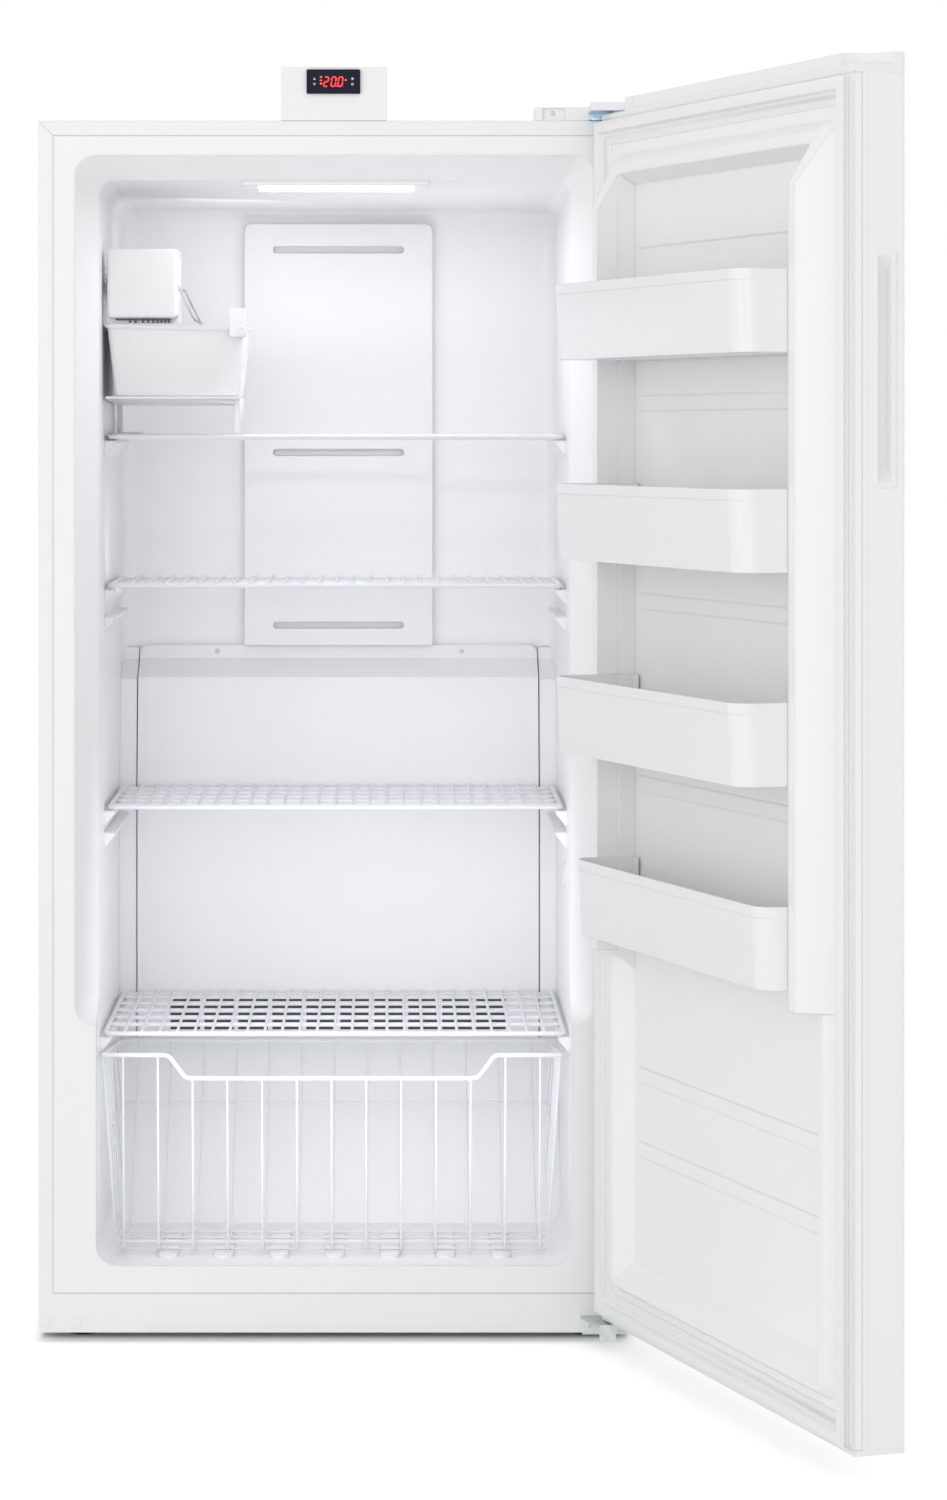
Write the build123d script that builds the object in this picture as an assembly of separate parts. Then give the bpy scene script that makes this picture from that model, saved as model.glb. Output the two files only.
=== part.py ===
from build123d import *
import os
from math import cos, hypot, pi, radians, sin

# Upright household freezer with one door, standing open as it is photographed.
# Millimetres. X to the right, Y to the back, Z up; the origin lies on the floor under the
# middle of the cabinet. The door's pieces are drawn shut and then swung open on the hinge.

# ---- cabinet ----
CABINET_WIDTH = 850.0
CABINET_DEPTH = 670.0
SHELL_BOTTOM = 14.0          # underside of the steel shell above the floor
SHELL_TOP = 1754.0
SHELL_STEEL = 1.0
RIM_WIDTH = 21.5             # steel return round the front opening
BACK_STEEL = 1.0
FOAM_BOTTOM = 50.0           # underside of the insulation
KICK_TOP = 70.0              # seam between kick plate and liner

# ---- inside space ----
LINER_WALL = 2.0
INNER_HALF = 341.0           # half the width between the side walls
INNER_DEPTH = 600.0          # front of the cabinet to the back wall
FLOOR_Z = 110.0
CEILING_FRONT = 1671.0
CEILING_BACK = 1656.0
FLOOR_DEPTH = 320.0          # the floor stops where the compressor hump starts
HUMP_DEPTH = 515.0
HUMP_TOP = 362.0
BACK_CORNER = 21.0
FLOOR_CORNER = 30.0
MOUTH_HALF = 372.0           # the flared mouth of the upper space
MOUTH_DEPTH = 55.0
MOUTH_TOP = 1704.0
MOUTH_BOTTOM = 454.0
MOUTH_CORNER = 30.0
LEDGE_REACH = 16.0           # side ledges that carry the shelves
LEDGE_DROP = 26.0
SPARE_LEDGES = (1034.0, 716.0)
FLOOR_RIB_COUNT = 7
FLOOR_RIB_PITCH = 80.5
FLOOR_RIB_WIDTH = 28.0
FLOOR_RIB_HEIGHT = 5.0
PORT_CAP_RADIUS = 20.0
PORT_CAP_PROUD = 2.5
PORT_CAP_DEPTH = 218.0
PORT_CAP_Z = 648.0

# ---- machine compartment behind the hump ----
MACHINE_WALL = 52.0          # insulation between hump and machines
MACHINE_TOP = 305.0
MACHINE_FLOOR = 28.0
PAN_STEEL = 2.0

# ---- air duct and evaporator ----
DUCT_HALF = 148.0
DUCT_TOP = 1634.0
DUCT_DEPTH = 18.0
DUCT_CORNER = 12.0
DUCT_SLOT_LENGTH = 206.0
DUCT_SLOT_HEIGHT = 11.0
DUCT_SLOTS = (1593.5, 1274.5, 1002.5)
COVER_WALL = 2.5
EVAP_HALF = 313.0
EVAP_TOP = 971.0
EVAP_FRONT = 520.0           # front of the cabinet to the cover's flat front
EVAP_CREASE = 768.0
EVAP_CORNER = 14.0
SURROUND_GAP = 1.5           # between the cover's sides and the formed surround beside it
SURROUND_BACK = 3.0          # the surround lies this far behind the cover's face
GRILLE_HALF = 265.0
GRILLE_TOP = 421.0
GRILLE_PITCH = 11.0
GRILLE_ROWS = 5
GRILLE_SLOT = 46.0
GRILLE_GAP = 53.0
GRILLE_HEIGHT = 4.0
EVAP_FAN_RADIUS = 52.0
EVAP_FAN_Z = 842.0
SHAFT_PLAY = 0.05

# ---- wire shelves ----
SHELF_HEIGHTS = (1302.0, 1082.0, 756.0, 436.0)
SHELF_FRONTS = (155.0, 155.0, 155.0, 60.0)
SHELF_BACK = 515.0
SHELF_HALF = 336.0
SHELF_RAIL = 3.3             # radius of the rim wire
SHELF_WIRE = 2.2             # radius of the wires that run front to back
SHELF_CROSS = 3.0            # radius of the wires below them
SHELF_PITCH = 25.4
SHELF_CROSS_PITCH = 75.0
WELD = 0.6                   # how far welded wires sink into each other
SEAT_GAP = 0.3

# ---- wire basket ----
BASKET_X = -4.0
BASKET_TOP_HALF = 331.0
BASKET_BOTTOM_HALF = 314.0
BASKET_FRONT_TOP = 406.0
BASKET_DIP = 372.0
BASKET_DIP_OUTER = 236.0
BASKET_DIP_INNER = 211.0
BASKET_REAR_TOP = 364.0
BASKET_FRONT = 42.0
BASKET_FLOOR_FRONT = 66.0
BASKET_FLOOR_BACK = 240.0
BASKET_BACK = 470.0
BASKET_WIRE = 1.6
BASKET_RIM = 3.2
BASKET_COUNT = 13
BASKET_PITCH = 50.3
BASKET_BEND = 9.0
BASKET_SIDE_BEND = 8.0
BASKET_MID_Z = 283.0

# ---- ice maker, upper left ----
ICE_LEFT = -336.0
ICE_WIDTH = 109.0
ICE_BOTTOM = 1466.0
ICE_HEIGHT = 109.0
ICE_FRONT = 112.0
ICE_HEAD_DEPTH = 42.0
ICE_MOULD_LENGTH = 230.0
ICE_MOULD_RADIUS = 30.0
ICE_WALL = 3.0
EJECTOR_FINGERS = 7
ICE_BIN_LEFT = -338.0
ICE_BIN_RIGHT = -129.0
ICE_BIN_BOTTOM = 1359.0
ICE_BIN_TOP = 1464.0
ICE_BIN_BACK_TOP = 1440.0
ICE_BIN_DEPTH = 288.0
ICE_BIN_TAPER = 12.0
ICE_BIN_WALL = 2.5
STAND_FRONT = 116.0
STAND_PLATE = 3.0            # the tray's thickness at its front
STAND_DEEP = 11.5            # and at its back
STAND_LEG = 8.0
STAND_POST = 20.0            # depth of the post at the left rear
STAND_FOOT = 26.0            # the feet reach inwards over the shelf's wires

# ---- controller box on the roof ----
CONTROL_HALF = 76.0
CONTROL_HEIGHT = 77.0
CONTROL_DEPTH = 70.0
CONTROL_WALL = 2.5
BEZEL_WIDTH = 77.0
BEZEL_HEIGHT = 35.0
BEZEL_PROUD = 4.0
BEZEL_X = -0.8
BEZEL_Z = 1809.5
MODULE_WIDTH = 71.0
MODULE_HEIGHT = 29.0
MODULE_DEPTH = 45.0
KEY_X = 27.3
KEY_Z = 4.0
KEY_SIZE = 4.6
KEY_PROUD = 0.6
KEY_PLAY = 0.2
KEY_TRAVEL = 0.4

# ---- ceiling light ----
LIGHT_X = 2.0
LIGHT_HALF = 113.0
LIGHT_HOUSING_HALF = 136.0
LIGHT_FRONT = 64.0
LIGHT_LENGTH = 66.0
LIGHT_HOUSING_DROP = 5.0
LIGHT_LENS_DROP = 5.0

# ---- door ----
DOOR_THICKNESS = 69.5
DOOR_BOTTOM = 40.5
DOOR_CAP = 7.0               # height of the bottom cap, and of the top cap at the hinge
DOOR_TOP = SHELL_TOP + 5.0
DOOR_RIDGE_TOP = DOOR_TOP + 19.0
DOOR_RIDGE_START = 87.0      # from the hinge edge
DOOR_STEEL = 1.0
DOOR_STEEL_EDGE = 11.0       # the steel sides stop this far behind the inner face
DOOR_GAP = 17.0              # gasket gap between the door's inner face and the cabinet
HINGE_INSET = 15.0           # hinge axis from the hinge edge
HINGE_BEHIND = 23.0          # hinge axis behind the door's inner face
DOOR_OPEN = 108.5            # degrees open in the photographed pose
PIN_RADIUS = 5.0
BUSH_RADIUS = 8.0
GASKET_EDGE = 4.0
GASKET_WIDTH = 34.0
GASKET_PLAY = 0.4
GASKET_CROWN = 1.8           # the head's outer edge slopes back by this much
GASKET_SLOPE = 7.0           # over this width, so it turns clear of the cabinet
DOOR_LINER = 2.0
RECESS_DEPTH = 9.0
RECESS_EDGE = 104.0          # recess side from the hinge edge, and from the free edge
RECESS_BOTTOM = 140.0
RECESS_SLOPE = 1.25
RIM_CREST_IN = 75.0          # inner edge of the low rim below the dikes
RECESS_TOP = 1655.0
PLUG_EDGE = 50.0             # foot of the raised rim from either edge
PLUG_BOTTOM = 96.0
PLUG_TOP = 1697.0
PLUG_RISE = 15.0
DIKE_RISE = 46.0
DIKE_CREST_OUT = 77.0        # crest from either edge
DIKE_CREST_IN = 98.0
DIKE_STEP = PLUG_RISE
DIKE_BOTTOM = 580.0
DIKE_RAMP = 79.0
PANEL_RIBS = (1575.0, 1347.0, 1070.0, 815.0, 407.0, 303.0)
PANEL_RIB_HEIGHT = 21.0
HANDLE_BOTTOM = 1237.0
HANDLE_TOP = 1532.5
HANDLE_OUTER = 58.3          # the handle frame lies between these depths behind the inner face
HANDLE_INNER = 25.8
HANDLE_DEEP = 23.0
HANDLE_PROUD = 1.2

# ---- door bins ----
BIN_BOTTOMS = (1407.0, 1130.0, 862.0, 606.0)
BIN_REACHES = (116.0, 116.0, 116.0, 84.0)
BIN_HEIGHT = 105.0
BIN_WALL = 2.5
BIN_CORNER = 28.0
BIN_BACK = -6.0
BIN_BACK_HEIGHT = 45.0
BIN_TAPER = 5.0
BIN_LIP = 14.0
BIN_LIP_PROUD = 0.8
BIN_PLAY = 1.0
LUG_REACH = 3.0
LUG_WIDTH = 16.0
LUG_TOP = 80.0

# ---- what stands on the floor ----
FOOT_Y = 75.0                # behind the front
FOOT_RADIUS = 22.0
FOOT_STUD = 5.0
FOOT_PLAY = 0.3
ROLLER_RADIUS = 18.0
ROLLER_WIDTH = 18.0
ROLLER_INSET = 50.0          # in front of the back
AXLE_RADIUS = 4.0

HALF = CABINET_WIDTH / 2
FOOT_X = HALF - 60.0
ROLLER_X = HALF - 85.0
FRONT = -CABINET_DEPTH / 2
BACK = CABINET_DEPTH / 2
INNER_BACK = FRONT + INNER_DEPTH
DOOR_INNER = FRONT - DOOR_GAP
DOOR_OUTER = DOOR_INNER - DOOR_THICKNESS
DOOR_PANEL_BOTTOM = DOOR_BOTTOM + DOOR_CAP
DOOR_PANEL_TOP = DOOR_TOP - DOOR_CAP
HINGE_X = HALF - HINGE_INSET
HINGE_Y = DOOR_INNER - HINGE_BEHIND
RIM_X = HALF - RIM_WIDTH
RIM_TOP = SHELL_TOP - RIM_WIDTH
FAR = 3000.0                 # past every piece, for cutting

parts = {}


def block(x0, x1, y0, y1, z0, z1):
    """A box between two corners."""
    middle = Pos((x0 + x1) / 2, (y0 + y1) / 2, (z0 + z1) / 2)
    return middle * Box(abs(x1 - x0), abs(y1 - y0), abs(z1 - z0))


def prism(outline, along, start, end):
    """An outline in the other two axes, drawn out along X, Y or Z."""
    place = {
        "X": lambda p: (start, p[0], p[1]),
        "Y": lambda p: (p[0], start, p[1]),
        "Z": lambda p: (p[0], p[1], start),
    }[along]
    direction = {"X": (1, 0, 0), "Y": (0, 1, 0), "Z": (0, 0, 1)}[along]
    face = make_face(Polyline(*[place(p) for p in outline], close=True))
    return extrude(face, amount=end - start, dir=direction)


def grown(outline, by):
    """A closed counter-clockwise outline, moved outwards by the same distance all round."""
    moved = []
    for i, (x, y) in enumerate(outline):
        before = outline[i - 1]
        after = outline[(i + 1) % len(outline)]
        a = (x - before[0], y - before[1])
        b = (after[0] - x, after[1] - y)
        normal_a = (a[1] / hypot(*a), -a[0] / hypot(*a))
        normal_b = (b[1] / hypot(*b), -b[0] / hypot(*b))
        turn = 1 + normal_a[0] * normal_b[0] + normal_a[1] * normal_b[1]
        shift = by / turn
        moved.append((x + shift * (normal_a[0] + normal_b[0]), y + shift * (normal_a[1] + normal_b[1])))
    return moved


def rod(radius, start, end):
    """A round bar between two points."""
    line = Line(start, end)
    return extrude(Plane(origin=start, z_dir=line % 0) * Circle(radius), amount=line.length)


def bent_wire(radius, points, bend):
    """A round wire through the points, with the same bend at each corner."""
    path = FilletPolyline(*points, radius=bend)
    return sweep(Plane(origin=path @ 0, z_dir=path % 0) * Circle(radius), path=path)


def rounded_plate(x0, x1, z0, z1, y0, y1, corner):
    """An upright plate facing the front, with four rounded corners."""
    plate = block(x0, x1, y0, y1, z0, z1)
    return fillet(plate.edges().filter_by(Axis.Y), corner)


def door_block(u0, u1, v0, v1, z0, z1):
    """A box on the shut door: u from the hinge edge, v from the inner face towards the cabinet."""
    return block(HALF - u1, HALF - u0, DOOR_INNER + v0, DOOR_INNER + v1, z0, z1)


def door_outline(points):
    """Points (u, v) on the shut door, as (x, y)."""
    return [(HALF - u, DOOR_INNER + v) for u, v in points]


def swung(piece):
    """A piece of the shut door, swung open to the photographed pose."""
    return piece.rotate(Axis((HINGE_X, HINGE_Y, 0), (0, 0, 1)), DOOR_OPEN)


def save(name, piece):
    parts[name] = piece


# ---------------------------------------------------------------- cabinet


def ceiling_height(depth):
    """The ceiling's height at a depth behind the front; it falls a little towards the back."""
    share = (depth - MOUTH_DEPTH) / (INNER_DEPTH - MOUTH_DEPTH)
    return CEILING_FRONT - share * (CEILING_FRONT - CEILING_BACK)


def cavity_outline(by):
    """Side view (y, z) of the inside space, grown outwards."""
    return grown(
        [
            (FRONT - 50, FLOOR_Z),
            (FRONT + FLOOR_DEPTH, FLOOR_Z),
            (FRONT + HUMP_DEPTH, HUMP_TOP),
            (INNER_BACK, HUMP_TOP),
            (INNER_BACK, CEILING_BACK),
            (FRONT - 50, ceiling_height(-50)),
        ],
        by,
    )


def mouth(by):
    """The flared mouth of the upper space, from just ahead of the front to just inside."""
    sections = []
    for depth in (-10.0, MOUTH_DEPTH + 16.0):
        share = depth / MOUTH_DEPTH
        half = MOUTH_HALF + share * (INNER_HALF - MOUTH_HALF) + by
        top = MOUTH_TOP + share * (CEILING_FRONT - MOUTH_TOP) + by
        bottom = MOUTH_BOTTOM + share * (MOUTH_HALF - INNER_HALF) - by
        corner = MOUTH_CORNER * (1 - 0.5 * share) + by
        middle = Plane(origin=(0, FRONT + depth, (top + bottom) / 2), x_dir=(1, 0, 0), z_dir=(0, 1, 0))
        sections.append(middle * RectangleRounded(2 * half, top - bottom, corner))
    return loft(sections, ruled=True)


def evaporator_surround(side, by):
    """The lining's step beside the evaporator's cover, following its front a little behind it."""
    front = FRONT + EVAP_FRONT + SURROUND_BACK
    outline = [
        (front, HUMP_TOP - 40),
        (INNER_BACK + 30, HUMP_TOP - 40),
        (INNER_BACK + 30, EVAP_TOP - SURROUND_BACK),
        (INNER_BACK - 7, EVAP_TOP - SURROUND_BACK),
        (INNER_BACK - 7, EVAP_TOP - 24),
        (front + 22, EVAP_TOP - 51),
        (front, EVAP_CREASE),
    ]
    start = side * (EVAP_HALF + SURROUND_GAP + by)
    end = side * (INNER_HALF + 20)
    return prism(grown(outline, -by), "X", min(start, end), max(start, end))


def cavity(by):
    """The inside space behind the front plane, grown outwards by the liner's wall or by nothing."""
    half = INNER_HALF + by
    space = prism(cavity_outline(by), "X", -half, half)
    upper = [
        e
        for e in space.edges()
        if e.center().Z > HUMP_TOP + 100
        and e.center().Y > FRONT + MOUTH_DEPTH
        and (abs(e.center().X) > half - 1 or e.center().Y > INNER_BACK - 1)
    ]
    space = fillet(upper, BACK_CORNER + by)
    lower = [e for e in space.edges() if e.center().Z < FLOOR_Z + 1 and abs(e.center().X) > half - 1]
    space = fillet(lower, FLOOR_CORNER + by)
    space = space + mouth(by)
    space = space - [evaporator_surround(side, by) for side in (-1, 1)]
    return space - block(-FAR, FAR, -FAR, FRONT, -FAR, FAR)


def shell_solid(by):
    """The cabinet's outer box with eased front and top edges, shrunk by the steel."""
    solid = block(-HALF + by, HALF - by, FRONT + by, BACK, SHELL_BOTTOM, SHELL_TOP - by)
    eased = [
        e
        for e in solid.edges()
        if (e.center().Y < FRONT + 2 and abs(e.center().X) > HALF - 3 and abs(e.center().Z) > 100)
        or e.center().Z > SHELL_TOP - 3
    ]
    eased = [e for e in eased if e.center().Y < BACK - 1]
    return fillet(eased, 3.0 - by)


def outer_shell():
    """One steel sheet, folded into two sides and the top, with returns round the front."""
    sheet = shell_solid(0) - shell_solid(SHELL_STEEL)
    opening = block(-RIM_X, RIM_X, FRONT - 5, FRONT + 5, 0, RIM_TOP)
    below = block(-FAR, FAR, -FAR, FAR, SHELL_BOTTOM - 5, SHELL_BOTTOM)
    return sheet - opening - below


def machine_space():
    """The machine compartment: a side view that follows the hump, right across the cabinet."""
    rise = (FRONT + HUMP_DEPTH - FRONT - FLOOR_DEPTH, HUMP_TOP - FLOOR_Z)
    length = hypot(*rise)
    along = (rise[0] / length, rise[1] / length)
    foot = (
        FRONT + FLOOR_DEPTH + along[1] * MACHINE_WALL,
        FLOOR_Z - along[0] * MACHINE_WALL,
    )
    reach = (MACHINE_TOP - foot[1]) / along[1]
    head = (foot[0] + along[0] * reach, MACHINE_TOP)
    start = foot[0]
    outline = [
        (start, FOAM_BOTTOM - 5),
        (BACK + 5, FOAM_BOTTOM - 5),
        (BACK + 5, MACHINE_TOP),
        head,
        foot,
    ]
    return outline


def cabinet_foam(liner_space):
    """Polyurethane foam between the steel shell and the liner."""
    inside = shell_solid(SHELL_STEEL)
    inside = inside - block(-FAR, FAR, BACK - BACK_STEEL, FAR, -FAR, FAR)
    inside = inside - block(-FAR, FAR, -FAR, FAR, -FAR, FOAM_BOTTOM)
    inside = inside - block(-RIM_X, RIM_X, FRONT, FRONT + LINER_WALL, -FAR, RIM_TOP)
    return inside - liner_space - prism(machine_space(), "X", -HALF, HALF)


def shelf_underside(height):
    return height - SHELF_WIRE - 2 * SHELF_CROSS + WELD


def cabinet_liner(space, liner_space):
    """White formed sheet: the inside walls, the flange round the front, ledges and floor ribs."""
    liner = liner_space - space
    flange = block(-RIM_X, RIM_X, FRONT, FRONT + LINER_WALL, KICK_TOP, RIM_TOP)
    liner = liner + (flange - space)
    wall = INNER_HALF + LINER_WALL / 2
    tops = [shelf_underside(z) - SEAT_GAP for z in SHELF_HEIGHTS] + list(SPARE_LEDGES)
    fronts = [front + 10 for front in SHELF_FRONTS] + [SHELF_FRONTS[0] + 10] * len(SPARE_LEDGES)
    extras = []
    for top, front in zip(tops, fronts):
        edge = INNER_HALF - LEDGE_REACH
        profile = [(wall, top), (edge, top), (edge, top - 5), (wall, top - LEDGE_DROP)]
        for side in (-1, 1):
            points = [(side * x, z) for x, z in profile]
            extras.append(prism(points, "Y", FRONT + front, FRONT + SHELF_BACK - 15))
    first = -FLOOR_RIB_PITCH * (FLOOR_RIB_COUNT - 1) / 2
    for i in range(FLOOR_RIB_COUNT):
        x = first + i * FLOOR_RIB_PITCH
        rib = block(
            x - FLOOR_RIB_WIDTH / 2,
            x + FLOOR_RIB_WIDTH / 2,
            FRONT + BASKET_FLOOR_FRONT - 14,
            FRONT + BASKET_FLOOR_BACK + 20,
            FLOOR_Z - LINER_WALL / 2,
            FLOOR_Z + FLOOR_RIB_HEIGHT,
        )
        extras.append(fillet(rib.edges().filter_by(Axis.Z), FLOOR_RIB_WIDTH / 2 - 0.5))
    housing = block(
        LIGHT_X - LIGHT_HOUSING_HALF,
        LIGHT_X + LIGHT_HOUSING_HALF,
        FRONT + LIGHT_FRONT - 6,
        FRONT + LIGHT_FRONT + LIGHT_LENGTH + 6,
        light_ceiling() - LIGHT_HOUSING_DROP,
        CEILING_FRONT + LINER_WALL / 2,
    )
    extras.append(housing & liner_space)
    cap_start = (INNER_HALF - PORT_CAP_PROUD, FRONT + PORT_CAP_DEPTH, PORT_CAP_Z)
    extras.append(rod(PORT_CAP_RADIUS, cap_start, (wall, cap_start[1], PORT_CAP_Z)))
    return liner + extras


def light_ceiling():
    """The ceiling's height where the light's back edge meets it."""
    return ceiling_height(LIGHT_FRONT + LIGHT_LENGTH + 6)


def light_lens():
    """Frosted lens under the light's housing in the ceiling."""
    top = light_ceiling() - LIGHT_HOUSING_DROP
    lens = block(
        LIGHT_X - LIGHT_HALF,
        LIGHT_X + LIGHT_HALF,
        FRONT + LIGHT_FRONT,
        FRONT + LIGHT_FRONT + LIGHT_LENGTH,
        top - LIGHT_LENS_DROP,
        top,
    )
    return fillet(lens.edges().group_by(Axis.Z)[0], 3.0)


def back_panel():
    """Steel back above the machines, with two pressed ribs."""
    y0 = BACK - BACK_STEEL
    inner = HALF - SHELL_STEEL
    panel = block(-inner, inner, y0, BACK, MACHINE_TOP, SHELL_TOP - SHELL_STEEL) & shell_solid(SHELL_STEEL)
    ribs = [block(x - 6, x + 6, BACK, BACK + 1.5, MACHINE_TOP + 60, SHELL_TOP - 80) for x in (-200, 200)]
    return panel + ribs


def foot_bracket(x):
    """A folded channel under the base that takes one levelling foot."""
    top = FOAM_BOTTOM - PAN_STEEL
    y = FRONT + FOOT_Y
    channel = block(x - 28, x + 28, y - 26, y + 26, top - 26, top)
    hollow = block(x - 26, x + 26, y - 30, y + 30, top - 22, top - 2)
    return channel - hollow


def base_pan():
    """Galvanised base: a plate under the insulation, stepping down to carry the machines."""
    start = FRONT + LINER_WALL
    step = machine_space()[0][0]
    top = FOAM_BOTTOM
    outline = [
        (start, top - PAN_STEEL),
        (step, top - PAN_STEEL),
        (step, MACHINE_FLOOR - PAN_STEEL),
        (BACK - BACK_STEEL, MACHINE_FLOOR - PAN_STEEL),
        (BACK - BACK_STEEL, MACHINE_FLOOR),
        (step + PAN_STEEL, MACHINE_FLOOR),
        (step + PAN_STEEL, top),
        (start, top),
    ]
    inner = HALF - SHELL_STEEL
    pan = prism(outline, "X", -inner, inner) & shell_solid(SHELL_STEEL)
    pan = pan + [foot_bracket(-FOOT_X), foot_bracket(FOOT_X)]
    for x in (-FOOT_X, FOOT_X):
        hole = (x, FRONT + FOOT_Y, 0)
        pan = pan - rod(FOOT_STUD + SHAFT_PLAY, hole, (hole[0], hole[1], FOAM_BOTTOM - PAN_STEEL - 3))
    return pan


def kick_plate():
    """Plate below the door opening, with one long pressed rib and a hole for its plug."""
    plate = block(-RIM_X, RIM_X, FRONT, FRONT + LINER_WALL, SHELL_BOTTOM, KICK_TOP)
    rib = rounded_plate(-269, 266, 23.0, 37.5, FRONT - 1.5, FRONT, 5.0)
    return plate + rib


def rim_plugs():
    """Two push-in plugs at the lower left, over unused hinge holes."""
    plugs = []
    for x in (-HALF + RIM_WIDTH / 2, -RIM_X + 34):
        cap = rod(7.0, (x, FRONT, 29), (x, FRONT - 1.8, 29))
        plugs.append(fillet(cap.edges().group_by(Axis.Y)[0], 0.9))
    return plugs[0] + plugs[1]


# ---------------------------------------------------------------- air duct and evaporator


def duct_cover():
    """Flat cover of the air duct on the back wall, with three round-ended outlets."""
    front = INNER_BACK - DUCT_DEPTH
    outer = block(-DUCT_HALF, DUCT_HALF, front, INNER_BACK, EVAP_TOP, DUCT_TOP)
    tops = [e for e in outer.edges().filter_by(Axis.Y) if e.center().Z > DUCT_TOP - 1]
    outer = fillet(tops, DUCT_CORNER)
    inner_half = DUCT_HALF - COVER_WALL
    inner = block(-inner_half, inner_half, front + COVER_WALL, INNER_BACK + 5, EVAP_TOP - 5, DUCT_TOP - COVER_WALL)
    cover = outer - inner
    for z in DUCT_SLOTS:
        slot = rounded_plate(
            -DUCT_SLOT_LENGTH / 2,
            DUCT_SLOT_LENGTH / 2,
            z - DUCT_SLOT_HEIGHT / 2,
            z + DUCT_SLOT_HEIGHT / 2,
            front - 5,
            front + COVER_WALL + 2,
            DUCT_SLOT_HEIGHT / 2 - 0.05,
        )
        cover = cover - slot
    return cover


def evaporator_outline():
    """Side view (y, z) of the evaporator cover's front, from the foot up to the duct."""
    front = FRONT + EVAP_FRONT
    return [
        (front, HUMP_TOP),
        (INNER_BACK, HUMP_TOP),
        (INNER_BACK, EVAP_TOP),
        (INNER_BACK - 10, EVAP_TOP),
        (INNER_BACK - 10, EVAP_TOP - 21),
        (front + 22, EVAP_TOP - 48),
        (front, EVAP_CREASE),
    ]


def evaporator_cover():
    """Formed cover of the evaporator: sloping top, a crease, and the return-air grille at its foot."""
    outer = prism(evaporator_outline(), "X", -EVAP_HALF, EVAP_HALF)
    inner_outline = grown(evaporator_outline(), -COVER_WALL)
    open_back = INNER_BACK + 5
    inner_outline = [
        (open_back if y > INNER_BACK - COVER_WALL - 1 else y, z) for y, z in inner_outline
    ]
    inner_half = EVAP_HALF - COVER_WALL
    cover = outer - prism(inner_outline, "X", -inner_half, inner_half)
    front = FRONT + EVAP_FRONT
    slots = []
    columns = int(2 * GRILLE_HALF / GRILLE_GAP)
    for row in range(GRILLE_ROWS):
        z = GRILLE_TOP - row * GRILLE_PITCH
        for column in range(columns):
            x = (column - (columns - 1) / 2) * GRILLE_GAP
            slots.append(
                block(
                    x - GRILLE_SLOT / 2,
                    x + GRILLE_SLOT / 2,
                    front - 5,
                    front + COVER_WALL + 3,
                    z - GRILLE_HEIGHT / 2,
                    z + GRILLE_HEIGHT / 2,
                )
            )
    cover = cover - slots
    face = block(-EVAP_HALF, EVAP_HALF, FRONT, BACK, HUMP_TOP - 5, EVAP_TOP)
    corners = [e for e in face.edges().filter_by(Axis.Y) if e.center().Z > EVAP_TOP - 1]
    return cover & fillet(corners, EVAP_CORNER)


def evaporator_coil():
    """Finned coil behind the cover: straight tubes through upright fins, with two end plates."""
    y0 = FRONT + EVAP_FRONT + 14
    y1 = INNER_BACK
    z0 = HUMP_TOP + 62
    z1 = z0 + 230
    tubes = []
    for y in (y0 + 18, y1 - 24):
        for i in range(5):
            z = z0 + 25 + i * 45
            tubes.append(rod(4.0, (-272, y, z), (272, y, z)))
    fins = [block(x - 0.5, x + 0.5, y0 + 4, y1 - 6, z0, z1) for x in range(-240, 241, 40)]
    ends = [block(x - 1, x + 1, y0, y1, z0 - 10, z1 + 10) for x in (-265, 265)]
    return tubes[0] + (tubes[1:] + fins + ends)


def defrost_heater():
    """Glass-tube heater below the coil, on two end blocks that stand on the hump."""
    y = FRONT + EVAP_FRONT + 40
    z = HUMP_TOP + 30
    tube = rod(6.0, (-250, y, z), (250, y, z))
    foot = HUMP_TOP + COVER_WALL
    ends = [block(x - 8, x + 8, y - 9, y + 9, foot, z + 9) for x in (-250, 250)]
    return tube + ends


def fan_wheel(radius, hub_radius, hub_length, bore, blades):
    """A small axial fan about +Z: a hub with a through bore and pitched blades."""
    hub = Cylinder(hub_radius, hub_length)
    wings = []
    for i in range(blades):
        wing = Box(radius - hub_radius + 6, radius * 0.55, 2.0)
        wing = Pos((radius + hub_radius - 6) / 2, 0, 0) * Rot(28, 0, 0) * wing
        wings.append(Rot(0, 0, 360 / blades * i) * wing)
    rim = Cylinder(radius, hub_length * 3)
    wheel = (hub + wings) & rim
    return wheel - Cylinder(bore, hub_length * 4)


def evaporator_fan():
    wheel = fan_wheel(EVAP_FAN_RADIUS, 16.0, 12.0, 2.5 + SHAFT_PLAY, 5)
    return Pos(0, FRONT + EVAP_FRONT + 34, EVAP_FAN_Z) * Rot(90, 0, 0) * wheel


def evaporator_fan_motor():
    """Motor on a bracket against the back wall; its shaft carries the fan."""
    y = FRONT + EVAP_FRONT + 34
    motor = rod(24.0, (0, y + 20, EVAP_FAN_Z), (0, INNER_BACK - 12, EVAP_FAN_Z))
    shaft = rod(2.5, (0, y - 8, EVAP_FAN_Z), (0, y + 23, EVAP_FAN_Z))
    bracket = block(-60, 60, INNER_BACK - 12, INNER_BACK - 9, EVAP_FAN_Z - 15, EVAP_FAN_Z + 15)
    legs = [block(x - 6, x + 6, INNER_BACK - 10, INNER_BACK, EVAP_FAN_Z - 15, EVAP_FAN_Z + 15) for x in (-54, 54)]
    return motor + ([shaft, bracket] + legs)


# ---------------------------------------------------------------- machines


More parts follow.
